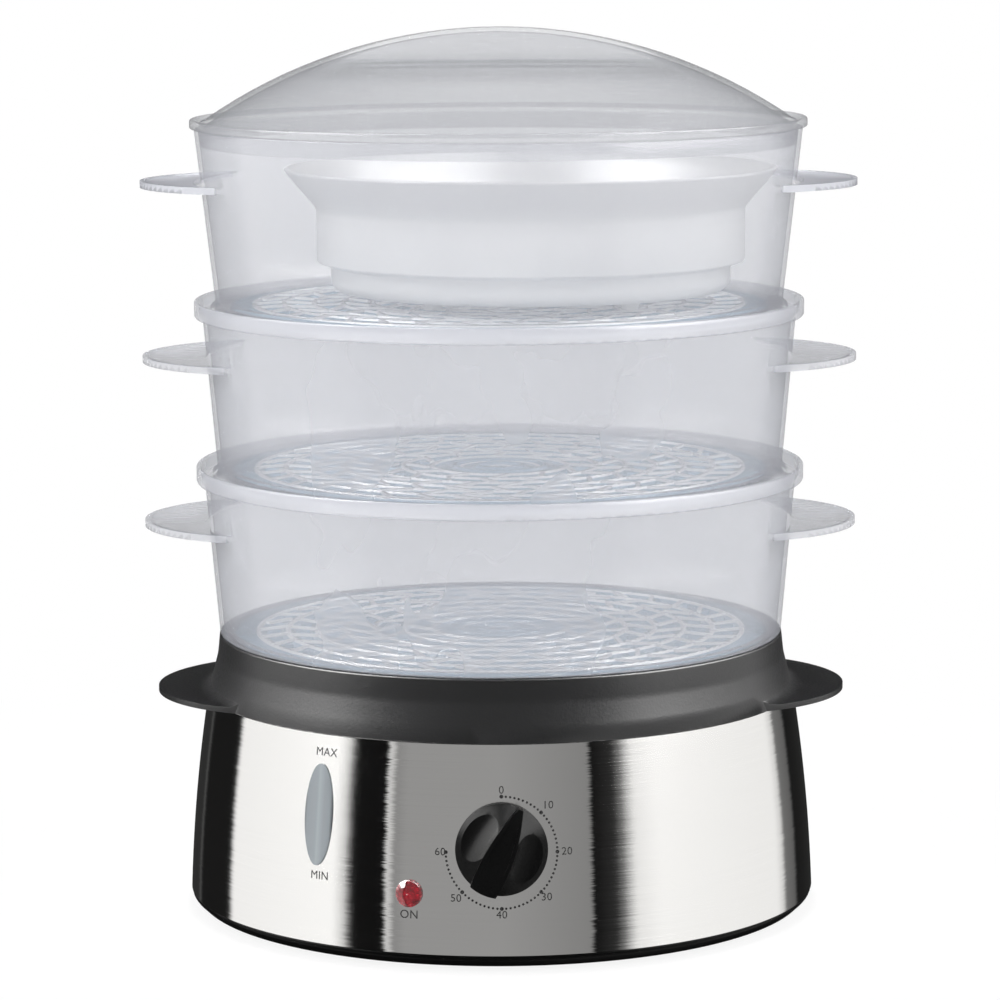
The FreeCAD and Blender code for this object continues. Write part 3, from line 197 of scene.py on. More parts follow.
def on_band(across, up, angle, height, lift=0.0):
    """Point on the band's face: across and up are measured from a place on it, lift stands off it."""
    z = height + up
    radius = band_radius(z) + lift
    turn = math.radians(angle) + across / radius
    return Vector((radius * math.sin(turn), -radius * math.cos(turn), z))


def band_normal(spot):
    """Outward direction of the band's face beside a point."""
    tilt = math.asin((spot.z - ARC_CENTRE_HEIGHT) / ARC_RADIUS)
    flat = Vector((spot.x, spot.y, 0)).normalized()
    return flat * math.cos(tilt) + Vector((0, 0, math.sin(tilt)))


def panel(angle, height):
    """Matrix whose Z stands out of the band's face at a place and whose Y points up."""
    spot = on_band(0, 0, angle, height)
    across = Vector((math.cos(math.radians(angle)), math.sin(math.radians(angle)), 0))
    outward = band_normal(spot)
    turn = Matrix((across, outward.cross(across), outward)).transposed()
    return Matrix.Translation(spot) @ turn.to_4x4()


# Mesh helpers


def link(name, mesh):
    """New object for a mesh, in the scene."""
    item = bpy.data.objects.new(name, mesh)
    bpy.context.scene.collection.objects.link(item)
    return item


def shade(mesh, angle=35.0):
    """Smooth shading with edges sharper than the angle left crisp."""
    for face in mesh.polygons:
        face.use_smooth = True
    mesh.set_sharp_from_angle(angle=math.radians(angle))


def finish_mesh(work, name, angle=35.0):
    """Mesh from a bmesh whose faces are turned outwards."""
    bmesh.ops.remove_doubles(work, verts=work.verts, dist=1e-6)
    bmesh.ops.recalc_face_normals(work, faces=work.faces)
    mesh = bpy.data.meshes.new(name)
    work.to_mesh(mesh)
    work.free()
    shade(mesh, angle)
    return mesh


def lathe(name, profile, steps=256, angle=35.0):
    """Solid of revolution of a closed (radius, height) profile."""
    work = bmesh.new()
    rings = []
    for radius, height in profile:
        if radius < 1e-7:
            rings.append([work.verts.new((0, 0, height))] * steps)
            continue
        turns = [2 * math.pi * step / steps for step in range(steps)]
        rings.append([work.verts.new((radius * math.cos(t), radius * math.sin(t), height)) for t in turns])
    for index, ring in enumerate(rings):
        following = rings[(index + 1) % len(rings)]
        for step in range(steps):
            corners = (ring[step], ring[(step + 1) % steps], following[(step + 1) % steps], following[step])
            distinct = list(dict.fromkeys(corners))
            if len(distinct) > 2:
                work.faces.new(distinct)
    return finish_mesh(work, name, angle)


def settle(item, body, slot, material, *replaced):
    """Gives a finished piece its material and body, and hides the nodes that it stands for; its slot is not
    used.
    """
    if material is not None:
        item.data.materials.clear()
        item.data.materials.append(material)
    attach(item, body)
    if replaced:
        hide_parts(*replaced)
    return item


def smooth_copy(node, material, angle=35.0, rounding=0.0):
    """Merged, smooth-shaded copy of a CAD node that stands for it, with its sharp edges rounded."""
    source = nodes[node]
    work = bmesh.new()
    work.from_mesh(source.data)
    bmesh.ops.remove_doubles(work, verts=work.verts, dist=2e-6)
    bmesh.ops.dissolve_degenerate(work, edges=work.edges, dist=1e-7)
    mesh = bpy.data.meshes.new(node + "_skin")
    work.to_mesh(mesh)
    work.free()
    item = link(node + "_skin", mesh)
    if rounding > 0.0:
        bevel = item.modifiers.new("rounding", "BEVEL")
        bevel.width = rounding
        bevel.segments = 3
        bevel.limit_method = "ANGLE"
        bevel.angle_limit = math.radians(angle)
        item = as_mesh(item)
    shade(item.data, angle)
    return settle(item, source["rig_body"], SLOTS[node], material, node)


def as_mesh(item):
    """Plain mesh of an object with its modifiers applied, in place of the object."""
    bpy.context.view_layer.update()
    graph = bpy.context.evaluated_depsgraph_get()
    mesh = bpy.data.meshes.new_from_object(item.evaluated_get(graph), depsgraph=graph)
    name = item.name
    bpy.data.objects.remove(item)
    return link(name, mesh)


def prism(name, corners, place, low, high):
    """Straight prism on corners in a matrix's XY plane."""
    work = bmesh.new()
    rings = [[work.verts.new(place @ Vector((x, y, z))) for x, y in corners] for z in (low, high)]
    work.faces.new(rings[1])
    work.faces.new(rings[0][::-1])
    for side in range(len(corners)):
        onward = (side + 1) % len(corners)
        work.faces.new((rings[0][side], rings[0][onward], rings[1][onward], rings[1][side]))
    return finish_mesh(work, name)


def oval(half_width, half_height, sides=96):
    """Corners of an ellipse."""
    turns = [2 * math.pi * side / sides for side in range(sides)]
    return [(half_width * math.cos(turn), half_height * math.sin(turn)) for turn in turns]


# Geometry Nodes helpers


def node_group(name, inputs):
    """Geometry node group with named inputs and one geometry output."""
    tree = bpy.data.node_groups.new(name, "GeometryNodeTree")
    tree.interface.new_socket("Geometry", in_out="INPUT", socket_type="NodeSocketGeometry")
    tree.interface.new_socket("Geometry", in_out="OUTPUT", socket_type="NodeSocketGeometry")
    for label, kind in inputs:
        tree.interface.new_socket(label, in_out="INPUT", socket_type="NodeSocket" + kind)
    return tree, add(tree, "NodeGroupInput").outputs


def wire(tree, kind, links, **values):
    """Node of a kind with its inputs linked or set."""
    node = add(tree, kind, **values)
    for key, value in links.items():
        if isinstance(value, bpy.types.NodeSocket):
            tree.links.new(value, node.inputs[key])
        else:
            node.inputs[key].default_value = value
    return node


def reckon(tree, operation, *numbers):
    """Result of a math node."""
    return wire(tree, "ShaderNodeMath", dict(enumerate(numbers)), operation=operation).outputs[0]


def close_group(tree, points, piece, given, **extra):
    """Ends a group: the piece on every point, realised, in the given material."""
    spots = {"Points": points, "Instance": piece, **extra}
    copies = wire(tree, "GeometryNodeInstanceOnPoints", spots).outputs["Instances"]
    real = wire(tree, "GeometryNodeRealizeInstances", {"Geometry": copies}).outputs["Geometry"]
    links = {"Geometry": real, "Material": given["Material"]}
    dressed = wire(tree, "GeometryNodeSetMaterial", links).outputs["Geometry"]
    wire(tree, "NodeGroupOutput", {"Geometry": dressed})
    return tree


def dots_group():
    """Group that lays a dial's dots round an arc, with a larger one at every tenth."""
    tree, given = node_group(
        "dial_dots",
        (("Count", "Int"), ("Sweep", "Float"), ("Circle", "Float"), ("Dot", "Float"), ("Ten Dot", "Float"),
         ("Material", "Material")),
    )
    index = add(tree, "GeometryNodeInputIndex").outputs[0]
    last = reckon(tree, "SUBTRACT", given["Count"], 1.0)
    turn = reckon(tree, "MULTIPLY", reckon(tree, "DIVIDE", index, last), given["Sweep"])
    x = reckon(tree, "MULTIPLY", reckon(tree, "SINE", turn), given["Circle"])
    y = reckon(tree, "MULTIPLY", reckon(tree, "COSINE", turn), given["Circle"])
    place = wire(tree, "ShaderNodeCombineXYZ", {"X": x, "Y": y}).outputs[0]
    line = wire(tree, "GeometryNodeMeshLine", {"Count": given["Count"]}).outputs[0]
    points = wire(tree, "GeometryNodeSetPosition", {"Geometry": line, "Position": place}).outputs[0]
    tenth = reckon(tree, "LESS_THAN", reckon(tree, "MODULO", index, 10.0), 0.5)
    more = reckon(tree, "MULTIPLY", tenth, reckon(tree, "SUBTRACT", given["Ten Dot"], given["Dot"]))
    radius = reckon(tree, "ADD", given["Dot"], more)
    size = wire(tree, "ShaderNodeCombineXYZ", {"X": radius, "Y": radius, "Z": 1.0}).outputs[0]
    pip = wire(tree, "GeometryNodeMeshCylinder", {"Vertices": 20, "Radius": 1.0, "Depth": 0.001})
    return close_group(tree, points, pip.outputs["Mesh"], given, Scale=size)


def bars_group():
    """Group that lays slanted bars round a circle, each turned a little at random."""
    tree, given = node_group(
        "ring_of_bars",
        (("Count", "Int"), ("Radius", "Float"), ("Start", "Float"), ("Slant", "Float"),
         ("Unevenness", "Float"), ("Seed", "Int"), ("Bar", "Vector"), ("Material", "Material")),
    )
    circle = wire(tree, "GeometryNodeMeshCircle", {"Vertices": given["Count"], "Radius": given["Radius"]})
    spin = wire(tree, "ShaderNodeCombineXYZ", {"Z": given["Start"]}).outputs[0]
    turned = wire(tree, "GeometryNodeTransform", {"Geometry": circle.outputs[0], "Rotation": spin}).outputs[0]
    spot = wire(tree, "ShaderNodeSeparateXYZ", {0: add(tree, "GeometryNodeInputPosition").outputs[0]})
    around = reckon(tree, "ARCTAN2", spot.outputs["Y"], spot.outputs["X"])
    least = reckon(tree, "MULTIPLY", given["Unevenness"], -1.0)
    chance = add(tree, "FunctionNodeRandomValue")
    tree.links.new(least, chance.inputs[2])
    tree.links.new(given["Unevenness"], chance.inputs[3])
    tree.links.new(given["Seed"], chance.inputs["Seed"])
    angle = reckon(tree, "ADD", reckon(tree, "ADD", around, given["Slant"]), chance.outputs[1])
    facing = wire(tree, "ShaderNodeCombineXYZ", {"Z": angle}).outputs[0]
    bar = wire(tree, "GeometryNodeMeshCube", {"Size": given["Bar"]}).outputs["Mesh"]
    return close_group(tree, turned, bar, given, Rotation=facing)


def grown(name, tree, values):
    """Plain mesh object that a node group makes from the named values."""
    item = link(name, bpy.data.meshes.new(name + "_start"))
    modifier = item.modifiers.new(name, "NODES")
    modifier.node_group = tree
    for socket in tree.interface.items_tree:
        if socket.in_out == "INPUT" and socket.name in values:
            modifier[socket.identifier] = values[socket.name]
    return as_mesh(item)


# Material helpers


def principled(name, base, roughness, metallic=0.0, **sockets):
    """Material with one shader whose even values sit on its own sockets."""
    material = bpy.data.materials.new(name)
    material.use_nodes = True
    shader = material.node_tree.nodes["Principled BSDF"]
    shader.inputs["Base Color"].default_value = (*base, 1.0)
    shader.inputs["Roughness"].default_value = roughness
    shader.inputs["Metallic"].default_value = metallic
    for socket, value in sockets.items():
        shader.inputs[socket.replace("_", " ")].default_value = value
    return material, material.node_tree, shader


def add(tree, kind, **values):
    """Node of a kind with its properties set."""
    node = tree.nodes.new(kind)
    for key, value in values.items():
        setattr(node, key, value)
    return node


def noise(tree, scale, stretch=(1.0, 1.0, 1.0), detail=3.0, roughness=0.55):
    """Noise on Object coordinates, stretched along the axes."""
    place = add(tree, "ShaderNodeTexCoord")
    mapping = add(tree, "ShaderNodeMapping")
    mapping.inputs["Scale"].default_value = stretch
    texture = add(tree, "ShaderNodeTexNoise")
    texture.inputs["Scale"].default_value = scale
    texture.inputs["Detail"].default_value = detail
    texture.inputs["Roughness"].default_value = roughness
    tree.links.new(place.outputs["Object"], mapping.inputs["Vector"])
    tree.links.new(mapping.outputs["Vector"], texture.inputs["Vector"])
    return texture.outputs["Fac"]


def spread(tree, value, low, high, from_low=0.3, from_high=0.7):
    """The value mapped to a range."""
    node = add(tree, "ShaderNodeMapRange")
    ends = {"From Min": from_low, "From Max": from_high, "To Min": low, "To Max": high}
    for socket, number in ends.items():
        node.inputs[socket].default_value = number
    tree.links.new(value, node.inputs["Value"])
    return node.outputs["Result"]


def tint(tree, value, first, second):
    """Colour between two, by a value."""
    node = add(tree, "ShaderNodeMix", data_type="RGBA")
    node.inputs["A"].default_value = (*first, 1.0)
    node.inputs["B"].default_value = (*second, 1.0)
    tree.links.new(value, node.inputs["Factor"])
    return node.outputs["Result"]


def bump(tree, shader, height, strength, distance):
    """Bump on a shader's normal."""
    node = add(tree, "ShaderNodeBump")
    node.inputs["Strength"].default_value = strength
    node.inputs["Distance"].default_value = distance
    tree.links.new(height, node.inputs["Height"])
    tree.links.new(node.outputs["Normal"], shader.inputs["Normal"])


def scaled(shade_of, factor):
    """A colour made lighter or darker."""
    return tuple(min(1.0, channel * factor) for channel in shade_of)


def brushed_steel(base):
    """Steel brushed round the base, so that reflections spread up and down and their ends fray."""
    brushing = {"Anisotropic": 1.0, "Anisotropic_Rotation": 0.25}
    material, tree, shader = principled("brushed_steel", base, 0.13, 1.0, **brushing)
    tangent = add(tree, "ShaderNodeTangent", direction_type="RADIAL", axis="Z")
    tree.links.new(tangent.outputs["Tangent"], shader.inputs["Tangent"])
    lines = noise(tree, 9.0, (1.0, 1.0, 340.0), 5.0, 0.7)
    tree.links.new(spread(tree, lines, 0.06, 0.11), shader.inputs["Roughness"])
    tree.links.new(tint(tree, lines, scaled(base, 0.94), scaled(base, 1.04)), shader.inputs["Base Color"])
    fray = add(tree, "ShaderNodeVectorMath", operation="SCALE")
    tree.links.new(tangent.outputs["Tangent"], fray.inputs[0])
    tree.links.new(spread(tree, lines, -0.012, 0.012), fray.inputs["Scale"])
    lean = add(tree, "ShaderNodeVectorMath", operation="ADD")
    tree.links.new(add(tree, "ShaderNodeNewGeometry").outputs["Normal"], lean.inputs[0])
    tree.links.new(fray.outputs["Vector"], lean.inputs[1])
    even = add(tree, "ShaderNodeVectorMath", operation="NORMALIZE")
    tree.links.new(lean.outputs["Vector"], even.inputs[0])
    tree.links.new(even.outputs["Vector"], shader.inputs["Normal"])
    return material


def satin_moulding(name, base, roughness=0.42, grain=900.0, shine=0.5):
    """Dark moulded plastic with a fine eroded grain."""
    material, tree, shader = principled(name, base, roughness, Specular_IOR_Level=shine)
    cloud = noise(tree, 14.0)
    fine = noise(tree, grain, detail=2.0)
    tree.links.new(tint(tree, cloud, scaled(base, 0.85), scaled(base, 1.2)), shader.inputs["Base Color"])
    tree.links.new(spread(tree, fine, roughness - 0.05, roughness + 0.07), shader.inputs["Roughness"])
    bump(tree, shader, fine, 0.25, 0.00015)
    return material


def milky_plastic(name, base, clear, edge, roughness=0.18, mask=None, masked=None):
    """See-through moulded plastic, denser edge-on, with another density and colour where masked."""
    material, tree, shader = principled(name, base, roughness)
    shader.inputs["IOR"].default_value = 1.46
    cloud = noise(tree, 16.0, (1.0, 1.0, 0.7))
    rim = add(tree, "ShaderNodeLayerWeight")
    rim.inputs["Blend"].default_value = 0.35
    density = spread(tree, rim.outputs["Facing"], clear, edge, 0.4, 1.0)
    shown = tint(tree, cloud, scaled(base, 0.95), scaled(base, 1.04))
    if mask is not None:
        where = mask(tree)
        density = blend_values(tree, where, density, masked[0])
        blend = wire(tree, "ShaderNodeMix", {"Factor": where}, data_type="RGBA")
        tree.links.new(shown, blend.inputs["A"])
        blend.inputs["B"].default_value = (*masked[1], 1.0)
        shown = blend.outputs["Result"]
    path = add(tree, "ShaderNodeLightPath")
    share = spread(tree, path.outputs["Is Camera Ray"], 0.35, 1.0, 0.0, 1.0)
    tree.links.new(reckon(tree, "MULTIPLY", density, share), shader.inputs["Alpha"])
    tree.links.new(shown, shader.inputs["Base Color"])
    bump(tree, shader, noise(tree, 60.0, detail=1.0), 0.06, 0.0008)
    return material


def reach(tree):
    """Distance from the stack's axis, on Object coordinates."""
    place = add(tree, "ShaderNodeTexCoord").outputs["Object"]
    flat = wire(tree, "ShaderNodeVectorMath", {0: place, 1: (1.0, 1.0, 0.0)}, operation="MULTIPLY")
    size = wire(tree, "ShaderNodeVectorMath", {0: flat.outputs["Vector"]}, operation="LENGTH")
    return size.outputs["Value"]


def outside(tree, radius):
    """1 outside a radius about the stack's axis and 0 inside."""
    return spread(tree, reach(tree), 0.0, 1.0, radius - 0.0004, radius + 0.0004)


def ring_lines(tree):
    """1 on the basket floors' ring ribs and 0 between them."""
    step = reckon(tree, "DIVIDE", reckon(tree, "SUBTRACT", reach(tree), HUB_RADIUS), RING_PITCH)
    away = reckon(tree, "ABSOLUTE", reckon(tree, "SUBTRACT", step, reckon(tree, "ROUND", step)))
    half = 0.001 / RING_PITCH
    return spread(tree, away, 1.0, 0.0, half, half + 0.03)


def blend_values(tree, mask, inner, outer):
    """Value that is inner where the mask is 0 and outer where it is 1."""
    node = add(tree, "ShaderNodeMix", data_type="FLOAT")
    tree.links.new(mask, node.inputs["Factor"])
    tree.links.new(inner, node.inputs["A"])
    node.inputs["B"].default_value = outer
    return node.outputs["Result"]


def plain_plastic(name, base, roughness=0.35, grain=120.0):
    """Moulded plastic with slight unevenness."""
    material, tree, shader = principled(name, base, roughness)
    fine = noise(tree, grain, detail=2.0)
    tree.links.new(tint(tree, fine, scaled(base, 0.96), scaled(base, 1.03)), shader.inputs["Base Color"])
    tree.links.new(spread(tree, fine, roughness - 0.04, roughness + 0.05), shader.inputs["Roughness"])
    bump(tree, shader, fine, 0.05, 0.0003)
    return material


def plain_metal(name, base, roughness=0.3, grain=200.0):
    """Small metal parts with fine scratches."""
    material, tree, shader = principled(name, base, roughness, 1.0)
    fine = noise(tree, grain, (1.0, 1.0, 6.0))
    tree.links.new(spread(tree, fine, roughness - 0.08, roughness + 0.12), shader.inputs["Roughness"])
    tree.links.new(tint(tree, fine, scaled(base, 0.9), scaled(base, 1.05)), shader.inputs["Base Color"])
    return material


def colours():
    """The user's colours."""
    return bpy.context.scene.steamer_colours


def sizes():
    """The user's sizes."""
    return bpy.context.scene.steamer_sizes


# Operators, one for each piece or group of like pieces


class SteamerOperator(bpy.types.Operator):
    """Base of the steamer's operators."""

    bl_options = {"REGISTER", "UNDO"}


class STEAMER_OT_stage(SteamerOperator):
    """Makes the pale floor, the studio surroundings, the lamps and the camera"""

    bl_idname = "steamer.stage"
    bl_label = "Stage"

    def execute(self, context):
        scene = context.scene
        scene.view_settings.view_transform = "Standard"
        self.floor()
        self.world(scene)
        self.lamp("key_lamp", (-1.3, -1.5, 1.7), 1.2, 16.0)
        self.lamp("fill_lamp", (1.7, -0.9, 1.2), 1.4, 9.0)
        self.lamp("back_lamp", (0.2, 1.8, 1.5), 1.6, 10.0)
        self.camera(scene)
        return {"FINISHED"}

    def floor(self):
        mesh = bpy.data.meshes.new("studio_floor")
        half = 6.0
        corners = [(-half, -half, 0), (half, -half, 0), (half, half, 0), (-half, half, 0)]
        mesh.from_pydata(corners, [], [(0, 1, 2, 3)])
        floor = link("studio_floor", mesh)
        floor.visible_glossy = False
        material, tree, shader = principled("studio_white", (0.92, 0.92, 0.92), 0.9)
        glow = add(tree, "ShaderNodeEmission").outputs["Emission"]
        seen = add(tree, "ShaderNodeLightPath").outputs["Is Camera Ray"]
        far = spread(tree, reach(tree), 0.88, 1.0, 0.13, 0.55)
        share = reckon(tree, "MULTIPLY", seen, far)
        mix = wire(tree, "ShaderNodeMixShader", {"Fac": share, 1: shader.outputs["BSDF"], 2: glow})
        tree.links.new(mix.outputs["Shader"], tree.nodes["Material Output"].inputs["Surface"])
        floor.data.materials.append(material)

    def world(self, scene):
        """White surroundings; metal and gloss see upright soft boxes and dark gaps between them."""
        world = bpy.data.worlds.new("studio")
        scene.world = world
        world.use_nodes = True
        tree = world.node_tree
        direction = add(tree, "ShaderNodeTexCoord").outputs["Generated"]
        split = wire(tree, "ShaderNodeSeparateXYZ", {"Vector": direction}).outputs
        front = reckon(tree, "MULTIPLY", split["Y"], -1.0)
        turn = reckon(tree, "ARCTAN2", split["X"], front)
        ramp = wire(tree, "ShaderNodeValToRGB", {"Fac": spread(tree, turn, 0.0, 1.0, -math.pi, math.pi)})
        elements = ramp.color_ramp.elements
        for index, (degrees, level) in enumerate(SURROUNDINGS):
            spot = (degrees + 180.0) / 360.0
            element = elements[index] if index < 2 else elements.new(spot)
            element.position = spot
            element.color = (level, level * 0.995, level * 0.985, 1.0)
        upward = spread(tree, split["Z"], 0.0, 10.0, 0.2, 0.5)
        light = wire(tree, "ShaderNodeSeparateColor", {"Color": ramp.outputs["Color"]}).outputs["Green"]
        boost = reckon(tree, "MULTIPLY", upward, reckon(tree, "POWER", light, 4.0))
        rise = {0: ramp.outputs["Color"], "Scale": reckon(tree, "ADD", boost, 1.0)}
        lifted = wire(tree, "ShaderNodeVectorMath", rise, operation="SCALE").outputs["Vector"]
        path = add(tree, "ShaderNodeLightPath").outputs
        even = (0.72, 0.725, 0.74, 1.0)
        lit = {"Factor": path["Is Glossy Ray"], "A": even, "B": lifted}
        pick = wire(tree, "ShaderNodeMix", lit, data_type="RGBA").outputs["Result"]
        seen = reckon(tree, "MAXIMUM", path["Is Camera Ray"], path["Is Transmission Ray"])
        backed = {"Factor": seen, "A": pick, "B": (1.0, 1.0, 1.0, 1.0)}
        white = wire(tree, "ShaderNodeMix", backed, data_type="RGBA").outputs["Result"]
        tree.links.new(white, tree.nodes["Background"].inputs["Color"])

    def lamp(self, name, place, size, power):
        data = bpy.data.lights.new(name, "AREA")
        data.size = size
        data.energy = power
        item = bpy.data.objects.new(name, data)
        bpy.context.scene.collection.objects.link(item)
        item.location = place
        aim = Vector((0, 0, 0.2)) - Vector(place)
        item.rotation_euler = aim.to_track_quat("-Z", "Y").to_euler()
        item.visible_glossy = False

    def camera(self, scene):
        data = bpy.data.cameras.new("photo_camera")
        data.lens = 147.68
        data.sensor_width = 36.0
        item = bpy.data.objects.new("photo_camera", data)
        scene.collection.objects.link(item)
        item.location = (0.0, -1.867, 0.457)
        down = Matrix.Rotation(math.radians(90.0 - 8.27), 3, "X")
        roll = Matrix.Rotation(math.radians(-0.26), 3, "Z")
        item.rotation_euler = (down @ roll).to_euler()
        data.clip_end = 50.0
        scene.camera = item


class STEAMER_OT_base(SteamerOperator):
    """Finishes the steel band, the dark collar with its handles, the skirt and the feet"""

    bl_idname = "steamer.base"
    bl_label = "Base"

    def execute(self, context):
        tones = colours()
        self.band(brushed_steel(tones.steel))
        skirt = satin_moulding("skirt_moulding", tones.skirt, 0.34, 700.0, 0.05)
        collar = satin_moulding("collar_moulding", tones.moulding, 0.36, 900.0, 0.45)
        smooth_copy("upper_housing", collar, 30.0, sizes().edge_round)
        smooth_copy("bottom_cover", skirt, 30.0)
        smooth_copy("rear_panel", skirt, 30.0)
        smooth_copy("rubber_feet", satin_moulding("foot_rubber", (0.02, 0.02, 0.02), 0.75, 500.0))
        smooth_copy("cord_gland", satin_moulding("gland_moulding", tones.skirt, 0.5))
        return {"FINISHED"}

    def band(self, material):
        thickness = 0.0008
        steps = 20
        heights = [BAND_LOW.z + (BAND_HIGH.z - BAND_LOW.z) * step / steps for step in range(steps + 1)]
        outer = [(band_radius(z), z) for z in heights]
        inner = [(band_radius(z, thickness), z) for z in reversed(heights)]
        band = link("steel_band_skin", lathe("steel_band_skin", outer + inner, 256, 40.0))
        depth = 0.006
        beyond = 0.2
        ends = [math.radians(90 - REAR_HALF), math.radians(90 + REAR_HALF)]
        sector = [(0.0, 0.0)] + [(beyond * math.cos(end), beyond * math.sin(end)) for end in ends]
        openings = {
            "timer_hole": (oval(*SHAFT_HOLE), panel(0, TIMER["pos_m"][2]), -depth, depth),
            "lamp_hole": (oval(*LAMP_HOLE), panel(*LAMP_PLACE), -depth, depth),
            "gauge_hole": (oval(*GAUGE_HOLE), panel(*GAUGE_PLACE), -depth, depth),
            "rear_gap": (sector, Matrix.Identity(4), -0.01, beyond),
        }
        cutters = []
        for name, shape in openings.items():
            cutters.append(link(name, prism(name, *shape)))
            cut = band.modifiers.new(name, "BOOLEAN")
            cut.object = cutters[-1]
            cut.operation = "DIFFERENCE"
            cut.solver = "EXACT"
        band = as_mesh(band)
        for cutter in cutters:
            bpy.data.objects.remove(cutter)
        self.true_normals(band.data)
        settle(band, "base", SLOTS["steel_band"], material, "steel_band")

    def true_normals(self, mesh):
        """Sets the shading of the band's two curved faces from its arc, and leaves the rest flat."""
        normals = []
        for face in mesh.polygons:
            face.use_smooth = True
            for index in face.vertices:
                true = band_normal(mesh.vertices[index].co)
                along = true.dot(face.normal)
                curved = abs(along) > 0.98
                normals.append(true * math.copysign(1.0, along) if curved else face.normal.copy())
        mesh.normals_split_custom_set(normals)


class STEAMER_OT_print(SteamerOperator):
    """Prints the timer's dots and figures and the words by the window and the lamp"""

    bl_idname = "steamer.print"
    bl_label = "Printing"

    def execute(self, context):
        measure = sizes()
        ink = plain_plastic("printed_ink", colours().print_ink, 0.5)
        dial_height = TIMER["pos_m"][2] - DIAL_DROP
        self.dots(measure, ink, dial_height)
        turn = math.radians(DIAL_SWEEP)
        for index, minute in enumerate(range(0, measure.minutes + 1, 10)):
            angle = turn * minute / measure.minutes
            away = FIGURE_REACH[index % len(FIGURE_REACH)]
            spot = (away * math.sin(angle), away * math.cos(angle))
            self.words(f"figure_{minute}", str(minute), measure.figure_height, 0, dial_height, spot, ink)
        self.words("word_max", "MAX", measure.word_height, -34.0, 0.0912, (0, 0), ink)
        self.words("word_min", "MIN", measure.word_height, -34.05, 0.0374, (0, 0), ink)
        self.words("word_on", "ON", measure.on_height, LAMP_PLACE[0], 0.0246, (0, 0), ink)
        return {"FINISHED"}

    def dots(self, measure, ink, height):
        values = {
            "Count": measure.minutes + 1,
            "Sweep": math.radians(DIAL_SWEEP),
            "Circle": measure.dot_circle,
            "Dot": measure.dot_radius,
            "Ten Dot": measure.ten_dot_radius,
            "Material": ink,
        }
        self.wrap(grown("dial_dots", dots_group(), values), 0, height, (0, 0), ink)

    def wrap(self, item, angle, height, spot, ink):
        """Lays a flat print on the band as a thin layer of ink."""
        for vertex in item.data.vertices:
            lift = 0.00006 if vertex.co.z > 0 else -0.0001
            vertex.co = on_band(vertex.co.x + spot[0], vertex.co.y + spot[1], angle, height, lift)
        settle(item, "base", SLOTS["upper_housing"], ink)

    def words(self, name, text, tall, angle, height, spot, ink):
        data = bpy.data.curves.new(name, "FONT")
        data.body = text
        data.align_x = "CENTER"
        data.align_y = "CENTER"
        data.size = tall / 0.72
        data.extrude = 0.5
        data.offset = tall * 0.001
        data.space_character = 1.06
        item = bpy.data.objects.new(name, data)
        bpy.context.scene.collection.objects.link(item)
        self.wrap(as_mesh(item), angle, height, spot, ink)


class STEAMER_OT_gauge(SteamerOperator):
    """Finishes the oval water window with its thin bright rim and a painted reflection streak across it"""

    bl_idname = "steamer.gauge"
    bl_label = "Water gauge"

    def execute(self, context):
        base = colours().gauge
        material, tree, shader = principled("gauge_pane", base, 0.22)
        place = add(tree, "ShaderNodeTexCoord").outputs["Object"]
        spot = wire(tree, "ShaderNodeSeparateXYZ", {0: place}).outputs
        front = reckon(tree, "MULTIPLY", spot["Y"], -1.0)
        angle = reckon(tree, "ARCTAN2", spot["X"], front)
        # Painted reflection: the pane's colour is lightest in a streak across its middle, as a bulged pane
        # would mirror, and darker towards both sides
        share = spread(tree, angle, 0.0, 1.0, math.radians(-37.8), math.radians(-31.8))
        ramp = wire(tree, "ShaderNodeValToRGB", {"Fac": share})
        painted_streak_levels = ((0.0, 0.55), (0.08, 1.0), (0.42, 1.12), (0.5, 1.3), (0.7, 1.05), (0.92, 1.0), (1.0, 0.45))
        elements = ramp.color_ramp.elements
        for index, (spot_at, level) in enumerate(painted_streak_levels):
            element = elements[index] if index < 2 else elements.new(spot_at)
            element.position = spot_at
            element.color = (*scaled(base, level), 1.0)
        tree.links.new(ramp.outputs["Color"], shader.inputs["Base Color"])
        bump(tree, shader, noise(tree, 40.0, (1.0, 1.0, 0.3)), 0.1, 0.0006)
        smooth_copy("gauge_window", material, 35.0, 0.00025)
        return {"FINISHED"}


class STEAMER_OT_lamp(SteamerOperator):
    """Finishes the red indicator lens"""

    bl_idname = "steamer.lamp"
    bl_label = "Indicator lamp"

    def execute(self, context):
        base = colours().lens
        material, tree, shader = principled("red_lens", base, 0.12, Coat_Weight=0.6, Coat_Roughness=0.05)
        cells = add(tree, "ShaderNodeTexVoronoi")
        cells.inputs["Scale"].default_value = 420.0
        place = add(tree, "ShaderNodeTexCoord")
        tree.links.new(place.outputs["Object"], cells.inputs["Vector"])
        facets = cells.outputs["Distance"]
        tree.links.new(tint(tree, facets, scaled(base, 1.3), scaled(base, 0.3)), shader.inputs["Base Color"])
        bump(tree, shader, facets, 0.6, 0.0008)
        smooth_copy("indicator_lens", material)
        return {"FINISHED"}


class STEAMER_OT_knob(SteamerOperator):
    """Finishes the timer knob and its shaft"""

    bl_idname = "steamer.knob"
    bl_label = "Timer knob"

    def execute(self, context):
        material = satin_moulding("knob_moulding", colours().knob, 0.3, 1200.0, 0.04)
        smooth_copy("timer_knob", material, 28.0, sizes().edge_round)
        nodes["timer_shaft"].data.materials.clear()
        nodes["timer_shaft"].data.materials.append(plain_metal("shaft_steel", (0.6, 0.6, 0.58)))
        return {"FINISHED"}


